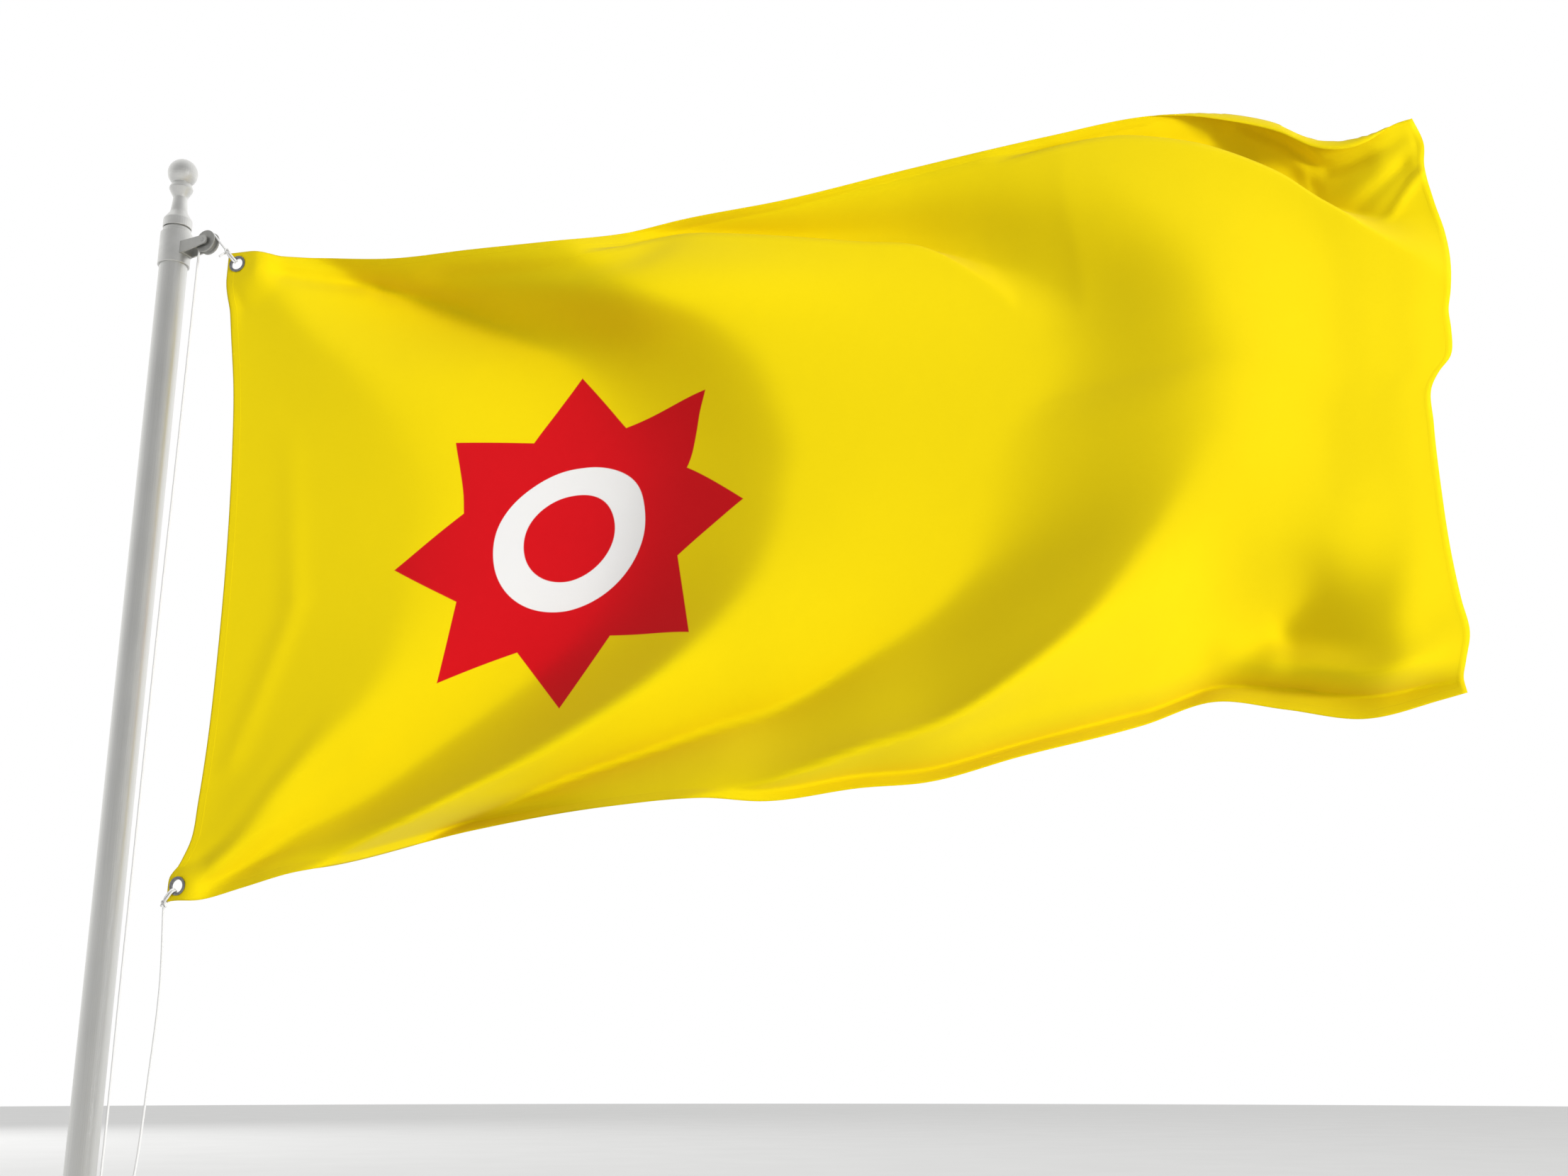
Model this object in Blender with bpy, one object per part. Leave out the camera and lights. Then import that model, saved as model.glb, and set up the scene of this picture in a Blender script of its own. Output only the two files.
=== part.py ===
"""A city flag flying from the top section of an aluminium flagpole.

Metres, +Z up. The origin is the middle of the pole's foot, at the end of the spigot
that plugs into the section below. The flag flies along +X and is seen from -Y.
"""

import math

import bmesh
import bpy
import numpy as np
from mathutils import Matrix, Vector

# Flag
FLY = 2.44
HOIST = 1.22
CLOTH_THICKNESS = 0.002
FLY_CELLS = 58
EYELET_FROM_HOIST = 0.020
EYELET_FROM_EDGE = 0.024
CORNER_CELL = (0.042, 0.048)

# Where the flag's outline was drawn from: the outline and folds below lie on the
# upright plane y = 0, and each point then moves along its line of sight to its depth.
EYE = Vector((1.168, -3.05, 0.66))

# Pole
POLE_RADIUS = 0.026
POLE_TOP = 2.2265
SPIGOT_RADIUS = 0.0228
SPIGOT_LENGTH = 0.090
GAP = 0.0003

# Truck: the collar and the arm with its sheave
COLLAR_RADIUS = 0.0295
COLLAR_FOOT = 2.150
COLLAR_TOP = 2.2175
ARM_TURN = math.radians(24)
AXLE_OUT = 0.080
AXLE_HEIGHT = 2.184
AXLE_RADIUS = 0.003
CHEEK_OUTSIDE = 0.015
CHEEK_THICKNESS = 0.003
CHEEK_TIP_RADIUS = 0.0095
CHEEK_ROOT_TOP = 0.0077
CHEEK_ROOT_FOOT = -0.0183
WEB_END = 0.033
SHEAVE_RADIUS = 0.022
SHEAVE_HALF_WIDTH = 0.0085
SHEAVE_GROOVE = 0.017
HUB_RADIUS = 0.007
HUB_HALF_WIDTH = 0.0117

# Halyard
ROPE_RADIUS = 0.002
KNOT_RADIUS = 0.0055
EYELET_TO_KNOT = 0.0385

# Cleat
CLEAT_HEIGHT = 0.220
CLEAT_HALF_WIDTH = 0.007
CLEAT_STEM = 0.026
CLEAT_BAR_FROM = 0.050
CLEAT_BAR_TO = 0.060
CLEAT_HORN = 0.075

ROUND = 32

# The four edges of the flag as drawn, as x and z, each from the hoist or the bottom on.
TOP_EDGE = (
    (0.109, 2.162), (0.150, 2.170), (0.267, 2.168), (0.417, 2.167), (0.566, 2.186), (0.716, 2.203), (0.866, 2.221),
    (0.971, 2.249), (1.168, 2.291), (1.397, 2.354), (1.689, 2.430), (1.860, 2.470), (2.007, 2.484), (2.061, 2.480),
    (2.122, 2.466), (2.200, 2.428), (2.240, 2.423), (2.310, 2.436), (2.375, 2.462), (2.400, 2.468),
)
BOTTOM_EDGE = (
    (0.104, 0.945), (0.160, 0.952), (0.230, 0.973), (0.311, 0.998), (0.391, 1.012), (0.620, 1.071), (0.866, 1.115),
    (1.030, 1.129), (1.127, 1.123), (1.306, 1.147), (1.416, 1.156), (1.584, 1.202), (1.808, 1.259), (1.936, 1.301),
    (2.061, 1.287), (2.199, 1.270), (2.342, 1.305), (2.388, 1.318),
)
HOIST_EDGE = (
    (0.104, 0.945), (0.106, 0.968), (0.114, 1.002), (0.134, 1.056), (0.140, 1.120), (0.146, 1.209), (0.151, 1.400),
    (0.151, 1.560), (0.145, 1.760), (0.136, 1.900), (0.121, 2.020), (0.112, 2.100), (0.109, 2.162),
)
FLY_EDGE = (
    (2.388, 1.318), (2.384, 1.345), (2.391, 1.375), (2.404, 1.430), (2.395, 1.490), (2.385, 1.586), (2.380, 1.700),
    (2.379, 1.830), (2.383, 1.905), (2.400, 1.935), (2.424, 1.965), (2.431, 2.020), (2.430, 2.060), (2.438, 2.100),
    (2.444, 2.160), (2.440, 2.220), (2.425, 2.290), (2.414, 2.370), (2.418, 2.410), (2.400, 2.468),
)

# The folds. Each line runs from the bottom edge to the top edge. Its place is a share of
# the fly at each of these heights, and its depth is y there, in millimetres.
HEIGHTS = (0.0, 0.12, 0.28, 0.45, 0.62, 0.78, 0.90, 1.0)
FOLDS = (
    # line, place at each height, depth at each height, how sharp its ridge is at each height
    ("hoist edge", (0, 0, 0, 0, 0, 0, 0, 0), (-38, -40, -44, -46, -48, -48, -48, -50), (0, 0, 0, 0, 0, 0, 0, 0)),
    ("first crest", (0.012, 0.052, 0.130, 0.148, 0.146, 0.105, 0.055, 0.018), (-46, -64, -66, -52, -54, -62, -58, -56),
     (0.6, 0.9, 0.7, 0.3, 0.2, 0.3, 0.6, 0.6)),
    ("first trough", (0.025, 0.155, 0.285, 0.318, 0.312, 0.262, 0.170, 0.070), (-38, 2, 18, 16, 16, 28, 50, -22),
     (0.2, 0.3, 0.2, 0, 0, 0.4, 0.8, 0.6)),
    ("second crest", (0.110, 0.273, 0.398, 0.448, 0.442, 0.400, 0.328, 0.270), (-86, -106, -84, -68, -70, -94, -144, -126),
     (0.9, 1.0, 0.8, 0.6, 0.5, 0.3, 0.3, 0.3)),
    ("second trough", (0.190, 0.415, 0.590, 0.625, 0.663, 0.640, 0.540, 0.330), (-18, 12, -12, -42, -42, -34, -44, -84),
     (0.9, 1.0, 0.3, 0, 0, 0.2, 0, 0)),
    ("third crest", (0.393, 0.625, 0.752, 0.815, 0.805, 0.778, 0.735, 0.690), (-144, -166, -144, -132, -120, -110, -100, -86),
     (0.8, 0.9, 0.4, 0.1, 0.1, 0.1, 0.2, 0.2)),
    ("third trough", (0.780, 0.852, 0.900, 0.920, 0.915, 0.915, 0.920, 0.900), (10, 14, -94, -95, -86, -78, -84, -85),
     (0.8, 0.8, 0, 0, 0, 0, 0, 0)),
    ("fourth crest", (0.930, 0.946, 0.968, 0.965, 0.965, 0.965, 0.965, 0.965), (-64, -82, -92, -92, -76, -72, -82, -85),
     (0.6, 0.5, 0.3, 0.3, 0.3, 0.2, 0, 0)),
    ("fly edge", (1, 1, 1, 1, 1, 1, 1, 1), (-60, -68, -82, -82, -60, -62, -78, -80), (0.6, 0.6, 0.6, 0.6, 0.6, 0.6, 0, 0)),
)
# Ridges are rounded over this share of the fly to each side.
RIDGE_ROUNDING = 0.012

# Shelves, where the cloth turns straight back behind a fold and comes up again further
# off. Where a shelf is hidden by the fold below it, none of its cloth shows.
SHELVES = (
    # share of the fly, height seen as a share of the hoist, step back in mm, cloth it takes
    # up as a share of the hoist, and how far it is hidden
    ("behind the second crest", (
        (0.28, 0.982, 0, 0.016, 0.0), (0.33, 0.982, 22, 0.018, 0.8), (0.37, 0.975, 44, 0.036, 1.0),
        (0.41, 0.958, 58, 0.046, 1.0), (0.45, 0.938, 66, 0.054, 1.0), (0.52, 0.893, 66, 0.054, 1.0),
        (0.57, 0.862, 54, 0.050, 1.0), (0.61, 0.815, 36, 0.046, 0.8), (0.65, 0.745, 14, 0.060, 0.2),
        (0.69, 0.690, 0, 0.060, 0.0))),
    ("behind the third crest", (
        (0.63, 0.984, 0, 0.016, 0.0), (0.69, 0.984, 24, 0.020, 0.9), (0.74, 0.976, 50, 0.040, 1.0),
        (0.80, 0.945, 82, 0.066, 1.0), (0.85, 0.915, 96, 0.080, 1.0), (0.88, 0.898, 94, 0.080, 1.0),
        (0.92, 0.876, 78, 0.078, 0.9), (0.955, 0.842, 50, 0.090, 0.4), (1.0, 0.790, 30, 0.130, 0.0))),
)
SHELF_DIP = 0.012
# Above a shelf the cloth leans forward again by this share of the step back.
SHELF_LEAN = 0.6

# Rows of the sheet: how many cells lie below, on and above the two shelves, and where the
# shelves' rows run past their ends, as shares of the hoist.
ROW_CELLS = (20, 2, 4, 3, 4)
ROWS_OFF_SHELVES = (
    # share of the fly, lower and upper row of the first shelf, then of the second
    (0.0, 0.787, 0.803, 0.886, 0.902), (0.10, 0.836, 0.852, 0.915, 0.931), (0.20, 0.915, 0.931, 0.959, 0.975),
    (0.28, 0.9663, 0.9823, 0.9865, 0.9915), (0.34, 0.966, 0.982, 0.9865, 0.9915), (0.42, 0.913, 0.959, 0.980, 0.9865),
    (0.63, 0.730, 0.790, 0.9683, 0.9843), (0.69, 0.6486, 0.7086, 0.967, 0.984), (0.80, 0.610, 0.660, 0.885, 0.945),
    (1.0, 0.590, 0.620, 0.690, 0.790),
)

# Where the bottom edge turns in under the cloth above it and its hem lips out again.
BOTTOM_HEM = (
    # share of the fly, height of the turn, how far it goes in, how far the hem lips out, mm
    (0.00, 20, 0, 0), (0.07, 20, 0, 0), (0.12, 16, 28, 0), (0.16, 17, 56, 0), (0.21, 18, 74, 4), (0.26, 16, 64, 4),
    (0.31, 14, 16, 4), (0.38, 16, 6, 4), (0.45, 20, 26, 20), (0.55, 22, 34, 38), (0.64, 22, 36, 42),
    (0.72, 24, 40, 40), (0.78, 20, 46, 34), (0.84, 32, 60, 34), (0.90, 40, 66, 38), (0.96, 34, 52, 30), (1.00, 24, 22, 12),
)
BOTTOM_REACH = 0.042

# Where the hem of the top edge is rolled over towards the viewer.
TOP_ROLL = (
    # share of the fly, cloth rolled over and how far it stands forward, mm
    (0.00, 0, 0), (0.77, 0, 0), (0.80, 10, 4), (0.84, 24, 12), (0.90, 26, 14), (0.95, 20, 10), (0.98, 4, 2), (1.00, 0, 0),
)

# The halyard's last metre, from the cleat up to the flag's lower corner: distance out
# along the arm's direction and height.
RUN_UP = ((0.047, 0.262), (0.058, 0.310), (0.078, 0.370), (0.097, 0.440), (0.110, 0.520), (0.118, 0.640), (0.125, 0.800))


def clear_scene():
    for old in list(bpy.data.objects):
        bpy.data.objects.remove(old, do_unlink=True)


def material(name, colour, roughness, metallic):
    made = bpy.data.materials.new(name)
    made.use_nodes = True
    shader = made.node_tree.nodes["Principled BSDF"]
    shader.inputs["Base Color"].default_value = (*colour, 1)
    shader.inputs["Roughness"].default_value = roughness
    shader.inputs["Metallic"].default_value = metallic
    return made


def add_mesh(name, points, faces, finish, place=None):
    """A mesh object from its points and faces, its faces turned outwards."""
    mesh = bpy.data.meshes.new(name)
    mesh.from_pydata([tuple(map(float, p)) for p in points], [], faces)
    shape = bmesh.new()
    shape.from_mesh(mesh)
    bmesh.ops.recalc_face_normals(shape, faces=shape.faces)
    shape.to_mesh(mesh)
    shape.free()
    mesh.shade_smooth()
    mesh.set_sharp_from_angle(angle=math.radians(35))
    made = bpy.data.objects.new(name, mesh)
    bpy.context.scene.collection.objects.link(made)
    if finish:
        mesh.materials.append(finish)
    if place:
        made.matrix_world = place
    return made


def turned(name, profile, finish, place=None, steps=ROUND):
    """A solid turned about its own Z, from (radius, height) points. A profile that starts
    and ends on the axis makes a solid one, and a closed profile off the axis a ring."""
    ring_like = profile[0][0] > 0
    points, rows = [], []
    for radius, height in profile:
        if radius == 0:
            rows.append([len(points)])
            points.append((0, 0, height))
            continue
        rows.append(list(range(len(points), len(points) + steps)))
        for i in range(steps):
            angle = 2 * math.pi * i / steps
            points.append((radius * math.cos(angle), radius * math.sin(angle), height))
    pairs = list(zip(rows, rows[1:]))
    if ring_like:
        pairs.append((rows[-1], rows[0]))
    faces = []
    for low, high in pairs:
        for i in range(steps):
            j = (i + 1) % steps
            if len(low) == 1:
                faces.append((low[0], high[i], high[j]))
            elif len(high) == 1:
                faces.append((low[i], low[j], high[0]))
            else:
                faces.append((low[i], low[j], high[j], high[i]))
    return add_mesh(name, points, faces, finish, place)


def extruded(name, outline, low, high, finish, place=None):
    """A plate from an outline of (x, z) points, from y = low to y = high."""
    count = len(outline)
    points = [(x, low, z) for x, z in outline] + [(x, high, z) for x, z in outline]
    faces = [tuple(range(count)), tuple(range(2 * count - 1, count - 1, -1))]
    for i in range(count):
        j = (i + 1) % count
        faces.append((i, j, j + count, i + count))
    return add_mesh(name, points, faces, finish, place)


def tube(name, route, radius, finish):
    """A rope of round section along a route of points."""
    curve = bpy.data.curves.new(name, "CURVE")
    curve.dimensions = "3D"
    curve.bevel_depth = radius
    curve.bevel_resolution = 2
    curve.use_fill_caps = True
    spline = curve.splines.new("POLY")
    spline.points.add(len(route) - 1)
    for point, at in zip(spline.points, route):
        point.co = (*at, 1)
    curve.materials.append(finish)
    made = bpy.data.objects.new(name, curve)
    bpy.context.scene.collection.objects.link(made)
    return made


def cut(target, cutter, operation="DIFFERENCE"):
    cutter.hide_render = True
    cutter.display_type = "WIRE"
    change = target.modifiers.new(cutter.name, "BOOLEAN")
    change.operation = operation
    change.object = cutter
    change.solver = "EXACT"


def arc(centre, radius, start, end, steps):
    """Points on an arc, angles in degrees."""
    found = []
    for i in range(steps + 1):
        angle = math.radians(start + (end - start) * i / steps)
        found.append((centre[0] + radius * math.cos(angle), centre[1] + radius * math.sin(angle)))
    return found


def arm_point(out, across, height):
    """A point of the truck or cleat: out along the arm, across it away from the viewer, up."""
    x = out * math.cos(ARM_TURN) + across * math.sin(ARM_TURN)
    y = -out * math.sin(ARM_TURN) + across * math.cos(ARM_TURN)
    return Vector((x, y, height))


def arm_place(height=0.0):
    """The arm's own axes: X out along the arm, Y across it, Z up."""
    return Matrix.Translation((0, 0, height)) @ Matrix.Rotation(-ARM_TURN, 4, "Z")


def across_place(out, height):
    """A place whose Z lies across the arm, for the sheave and its axle."""
    return Matrix.Translation(arm_point(out, 0, height)) @ Matrix.Rotation(-ARM_TURN, 4, "Z") @ Matrix.Rotation(
        math.radians(90), 4, "X")


def smooth_table(places, values, at):
    """Values between a table's rows, on a smooth curve through them."""
    places, values, at = np.asarray(places, float), np.asarray(values, float), np.asarray(at, float)
    steps = np.diff(places)
    slopes = np.diff(values, axis=0) / steps.reshape(-1, *([1] * (values.ndim - 1)))
    widths = steps.reshape(-1, *([1] * (values.ndim - 1)))
    inner = (slopes[:-1] * widths[1:] + slopes[1:] * widths[:-1]) / (widths[1:] + widths[:-1])
    tangents = np.concatenate([slopes[:1], inner, slopes[-1:]])
    row = np.clip(np.searchsorted(places, at, side="right") - 1, 0, len(steps) - 1)
    share = (at - places[row]) / steps[row]
    if values.ndim > 1:
        share = share[..., None]
    width = widths[row]
    return (
        values[row] * (2 * share**3 - 3 * share**2 + 1)
        + tangents[row] * width * (share**3 - 2 * share**2 + share)
        + values[row + 1] * (3 * share**2 - 2 * share**3)
        + tangents[row + 1] * width * (share**3 - share**2)
    )


def along(edge, share):
    """Points at shares of an edge's length."""
    edge = np.asarray(edge, float)
    run = np.concatenate([[0], np.cumsum(np.hypot(*np.diff(edge, axis=0).T))])
    return smooth_table(run / run[-1], edge, share)


def soft_step(value):
    value = np.clip(value, 0, 1)
    return value * value * (3 - 2 * value)


def fold_depth(s, t):
    """Depth of the folds: a wave from each fold line to the next, straighter the sharper
    the ridges are."""
    places = smooth_table(HEIGHTS, np.array([row[1] for row in FOLDS]).T, t)
    depths = smooth_table(HEIGHTS, np.array([row[2] for row in FOLDS]).T, t) / 1000
    sharp = 1.4 * np.clip(smooth_table(HEIGHTS, np.array([row[3] for row in FOLDS]).T, t), 0, 1)
    rows = np.arange(len(s))
    total = np.zeros_like(s)
    for offset, weight in ((-1, 0.12), (-0.5, 0.22), (0, 0.32), (0.5, 0.22), (1, 0.12)):
        at = np.clip(s + offset * RIDGE_ROUNDING, 0, 1)
        line = np.clip((at[:, None] >= places).sum(axis=1) - 1, 0, len(FOLDS) - 2)
        start, end = places[rows, line], places[rows, line + 1]
        share = np.clip((at - start) / np.maximum(end - start, 1e-6), 0, 1)
        wave = (3 * share**2 - 2 * share**3 + sharp[rows, line] * (share**3 - 2 * share**2 + share)
                + sharp[rows, line + 1] * (share**3 - share**2))
        total += weight * (depths[rows, line] * (1 - wave) + depths[rows, line + 1] * wave)
    return total


def shelf_edges(rows, s):
    """A shelf's lower and upper edge on the cloth, its height as seen, its step back, and
    how far it is hidden."""
    table = np.array(rows)
    height, step, width, hidden = smooth_table(table[:, 0], table[:, 1:], s).T
    inside = (s > table[0, 0]) & (s < table[-1, 0] + (table[-1, 0] == 1))
    step = np.where(inside, np.clip(step, 0, None), 0) / 1000
    low = height * (1 - width)
    return low, low + width, height, step, np.clip(hidden, 0, 1)


def seen_share(s, t):
    """Height as seen, as a share of the hoist, and the step back: a hidden shelf takes up
    cloth without showing."""
    seen, back = t.copy(), np.zeros_like(t)
    for _, rows in SHELVES:
        low, high, height, step, hidden = shelf_edges(rows, s)
        low_seen = low + hidden * (height - low)
        high_seen = high + hidden * (height - SHELF_DIP - high)
        share = np.clip((t - low) / (high - low), 0, 1)
        lean = SHELF_LEAN * np.clip((t - high) / (1 - high), 0, 1)
        below = t * low_seen / low
        on = low_seen + (high_seen - low_seen) * share
        above = high_seen + (1 - high_seen) * (t - high) / (1 - high)
        here = np.where(t < low, below, np.where(t < high, on, above))
        seen = np.where(step > 0, here, seen)
        back += step * (hidden * share + (1 - hidden) * soft_step(share)) * (1 - lean)
    return seen, back


def bottom_hem_depth(s, t):
    """The bottom edge turns in, and its hem lips out again."""
    table = np.array(BOTTOM_HEM)
    height, turn_in, lip_out = smooth_table(table[:, 0], table[:, 1:], s).T / 1000
    turn_in, lip_out = np.clip(turn_in, 0, None), np.clip(lip_out, 0, None)
    crease = height / HOIST
    above = turn_in * (1 - np.clip((t - crease) / BOTTOM_REACH, 0, 1)) ** 2
    below = turn_in - lip_out * np.clip(1 - t / crease, 0, 1)
    return np.where(t > crease, above, below)


def top_roll(s, t, seen):
    """The top hem rolled over towards the viewer: its height as seen, and its depth."""
    table = np.array(TOP_ROLL)
    rolled, forward = np.clip(smooth_table(table[:, 0], table[:, 1:], s).T / 1000, 0, None)
    width = rolled / HOIST
    turn = 1 - width
    share = np.clip((t - turn) / np.maximum(width, 1e-6), 0, 1)
    rise = seen + width * soft_step((t - 0.90) / 0.10)
    folded = 1 - 0.8 * (t - turn)
    height = np.where(t > turn, folded, np.minimum(rise, 1))
    return np.where(width > 0, height, seen), np.where(width > 0, -forward * np.sin(share * math.pi * 0.75) ** 0.7, 0)


def corner_axes():
    """Each eyelet's middle and the flag's own directions there: along the fly, up the
    hoist, and out of the face that the viewer sees."""
    found = {}
    for name, middle, turn, lean in (
        ("upper", Vector((0.141, -0.055, 2.128)), math.radians(14), math.radians(3)),
        ("lower", Vector((0.1330, -0.045, 0.971)), math.radians(20), math.radians(2)),
    ):
        fly = Vector((math.cos(turn), -math.sin(turn), 0))
        up = Vector((math.sin(lean), 0, math.cos(lean)))
        up = (up - fly * up.dot(fly)).normalized()
        found[name] = (middle, fly, up, fly.cross(up))
    return found


def flag_points(s, t):
    """The middle of the cloth at shares s of the fly and t of the hoist."""
    s, t = np.asarray(s, float), np.asarray(t, float)
    seen, back = seen_share(s, t)
    seen, roll = top_roll(s, t, seen)
    bottom, top = along(BOTTOM_EDGE, s), along(TOP_EDGE, s)
    hoist, fly = along(HOIST_EDGE, seen), along(FLY_EDGE, seen)
    across, up = s[:, None], seen[:, None]
    corners = [np.array(edge[end]) for edge in (BOTTOM_EDGE, TOP_EDGE) for end in (0, -1)]
    drawn = (
        (1 - up) * bottom + up * top + (1 - across) * hoist + across * fly
        - (1 - across) * (1 - up) * corners[0] - across * (1 - up) * corners[1]
        - (1 - across) * up * corners[2] - across * up * corners[3]
    )
    depth = fold_depth(s, seen) + back + bottom_hem_depth(s, t) + roll
    reach = (depth - EYE.y) / -EYE.y
    points = np.stack([
        EYE.x + (drawn[:, 0] - EYE.x) * reach,
        depth,
        EYE.z + (drawn[:, 1] - EYE.z) * reach,
    ], axis=1)
    for name, (middle, fly_way, up_way, _) in corner_axes().items():
        from_hoist = s * FLY - EYELET_FROM_HOIST
        from_edge = t * HOIST - EYELET_FROM_EDGE if name == "lower" else EYELET_FROM_EDGE - (1 - t) * HOIST
        flat = np.array(middle) + from_hoist[:, None] * np.array(fly_way) + from_edge[:, None] * np.array(up_way)
        hold = 1 - soft_step((np.hypot(from_hoist, from_edge) - 0.034) / 0.052)
        points += (flat - points) * hold[:, None]
    return points


def sheet_rows(columns):
    """Heights of the sheet's rows at each column. Rows follow both edges of each shelf."""
    corner = CORNER_CELL[1] / HOIST
    edges = []
    off = np.array(ROWS_OFF_SHELVES)
    for number, (_, rows) in enumerate(SHELVES):
        low, high, _, step, _ = shelf_edges(rows, columns)
        away_low, away_high = (np.interp(columns, off[:, 0], off[:, 2 * number + side]) for side in (1, 2))
        edges.append((np.where(step > 0, low, away_low), np.where(step > 0, high, away_high)))
    (first_low, first_high), (second_low, second_high) = edges
    levels = [np.zeros_like(columns), np.full_like(columns, corner / 2), np.full_like(columns, corner)]
    stops = [levels[-1], first_low, first_high, second_low, second_high, np.ones_like(columns)]
    for low, high, cells in zip(stops, stops[1:], ROW_CELLS):
        levels += [low + (high - low) * (i + 1) / cells for i in range(cells)]
    return np.stack(levels, axis=1)


def sheet_solid(name, columns, thickness, finish):
    """The cloth as a closed sheet over a grid of shares of the fly and the hoist."""
    t = sheet_rows(columns)
    across, up = t.shape
    s = np.repeat(columns[:, None], up, axis=1)
    grid = flag_points(s.ravel(), t.ravel()).reshape(across, up, 3)
    along_fly = np.gradient(grid, axis=0)
    along_hoist = np.gradient(grid, axis=1)
    out = np.cross(along_fly, along_hoist)
    out /= np.linalg.norm(out, axis=2, keepdims=True)
    for corner in (slice(0, 3), slice(up - 3, up)):
        out[0:2, corner] = out[0, 0 if corner.start == 0 else up - 1]
    front = (grid + out * thickness / 2).reshape(-1, 3)
    back = (grid - out * thickness / 2).reshape(-1, 3)
    count = across * up
    faces = []
    for i in range(across - 1):
        for j in range(up - 1):
            a, b = i * up + j, (i + 1) * up + j
            faces.append((a, b, b + 1, a + 1))
            faces.append((count + a, count + a + 1, count + b + 1, count + b))
    rim = [i * up for i in range(across)] + [(across - 1) * up + j for j in range(1, up)]
    rim += [i * up + up - 1 for i in range(across - 2, -1, -1)] + [j for j in range(up - 2, 0, -1)]
    for a, b in zip(rim, rim[1:] + rim[:1]):
        faces.append((a, a + count, b + count, b))
    return add_mesh(name, np.concatenate([front, back]), faces, finish)


def axes_matrix(origin, x_way, y_way, z_way):
    columns = Matrix((x_way, y_way, z_way)).transposed().to_4x4()
    return Matrix.Translation(origin) @ columns


def build_pole(metal):
    turned("pole", (
        (0, 0), (SPIGOT_RADIUS - 0.001, 0), (SPIGOT_RADIUS, 0.001), (SPIGOT_RADIUS, SPIGOT_LENGTH),
        (POLE_RADIUS - 0.0005, SPIGOT_LENGTH), (POLE_RADIUS, SPIGOT_LENGTH + 0.0005),
        (POLE_RADIUS, POLE_TOP - 0.001), (POLE_RADIUS - 0.001, POLE_TOP), (0, POLE_TOP),
    ), metal, steps=48)


def build_collar(metal):
    inside = POLE_RADIUS + GAP
    turned("truck_collar", (
        (inside, COLLAR_FOOT), (COLLAR_RADIUS - 0.0008, COLLAR_FOOT), (COLLAR_RADIUS, COLLAR_FOOT + 0.0008),
        (COLLAR_RADIUS, COLLAR_TOP - 0.0012), (COLLAR_RADIUS - 0.0012, COLLAR_TOP), (inside, COLLAR_TOP),
    ), metal, steps=48)


def build_finial(metal):
    """The turned top of the pole: base ring, shoulder, spindle, flared cup and ball."""
    foot = POLE_TOP + GAP
    ball_radius, ball_height = 0.028, 0.1206
    cup_seat = 0.017
    seat_angle = math.degrees(math.asin(cup_seat / ball_radius))
    profile = [(0, 0), (0.0215, 0), (0.0215, 0.0018), (0.0262, 0.0018), (0.0268, 0.0026), (0.0268, 0.0186),
               (0.0262, 0.0204), (0.0205, 0.0290), (0.0168, 0.0350), (0.0160, 0.0376), (0.0152, 0.0440),
               (0.0136, 0.0600), (0.0132, 0.0672), (0.0146, 0.0705), (0.0196, 0.0800), (0.0219, 0.0850),
               (0.0221, 0.0875), (0.0213, 0.0900), (0.0186, 0.0960)]
    profile += [(r, z) for r, z in arc((0, ball_height), ball_radius, seat_angle - 90, 84, 14)]
    profile.append((0, ball_height + ball_radius))
    turned("finial", profile, metal, Matrix.Translation((0, 0, foot)), steps=36)


def build_bracket(metal):
    """Two cheeks and the web between them, hollowed to fit the collar."""
    tip = arc((AXLE_OUT, 0), CHEEK_TIP_RADIUS, -62, 90, 12)
    outline = [(0.018, CHEEK_ROOT_FOOT)] + tip + [(0.018, CHEEK_ROOT_TOP)]
    place = arm_place(AXLE_HEIGHT)
    bracket = extruded("truck_bracket", outline, -CHEEK_OUTSIDE, CHEEK_OUTSIDE, metal, place)
    inner = CHEEK_OUTSIDE - CHEEK_THICKNESS
    slot = extruded("slot_cutter", ((WEB_END, -0.03), (0.12, -0.03), (0.12, 0.03), (WEB_END, 0.03)),
                    -inner, inner, None, place)
    seat = turned("seat_cutter", ((0, -0.05), (COLLAR_RADIUS + GAP, -0.05), (COLLAR_RADIUS + GAP, 0.05), (0, 0.05)),
                  None, Matrix.Translation((0, 0, AXLE_HEIGHT)), steps=48)
    hole = turned("axle_cutter", ((0, -0.03), (AXLE_RADIUS + GAP, -0.03), (AXLE_RADIUS + GAP, 0.03), (0, 0.03)),
                  None, across_place(AXLE_OUT, AXLE_HEIGHT), steps=24)
    for cutter in (slot, seat, hole):
        cut(bracket, cutter)


def build_sheave(metal, steel):
    place = across_place(AXLE_OUT, AXLE_HEIGHT)
    bore = AXLE_RADIUS + GAP
    half = [(bore, HUB_HALF_WIDTH), (HUB_RADIUS, HUB_HALF_WIDTH), (HUB_RADIUS, SHEAVE_HALF_WIDTH),
            (SHEAVE_RADIUS - 0.0008, SHEAVE_HALF_WIDTH), (SHEAVE_RADIUS, SHEAVE_HALF_WIDTH - 0.0008),
            (SHEAVE_RADIUS, 0.0056), (SHEAVE_RADIUS - 0.0010, 0.0046), (SHEAVE_GROOVE + 0.0010, 0.0032),
            (SHEAVE_GROOVE, 0.0022)]
    profile = [(r, -z) for r, z in half] + half[::-1]
    turned("sheave", profile, metal, place, steps=36)
    reach = CHEEK_OUTSIDE + 0.0002
    turned("axle", ((0, -reach), (AXLE_RADIUS, -reach), (AXLE_RADIUS, reach), (0, reach)), steel, place, steps=24)


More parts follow.
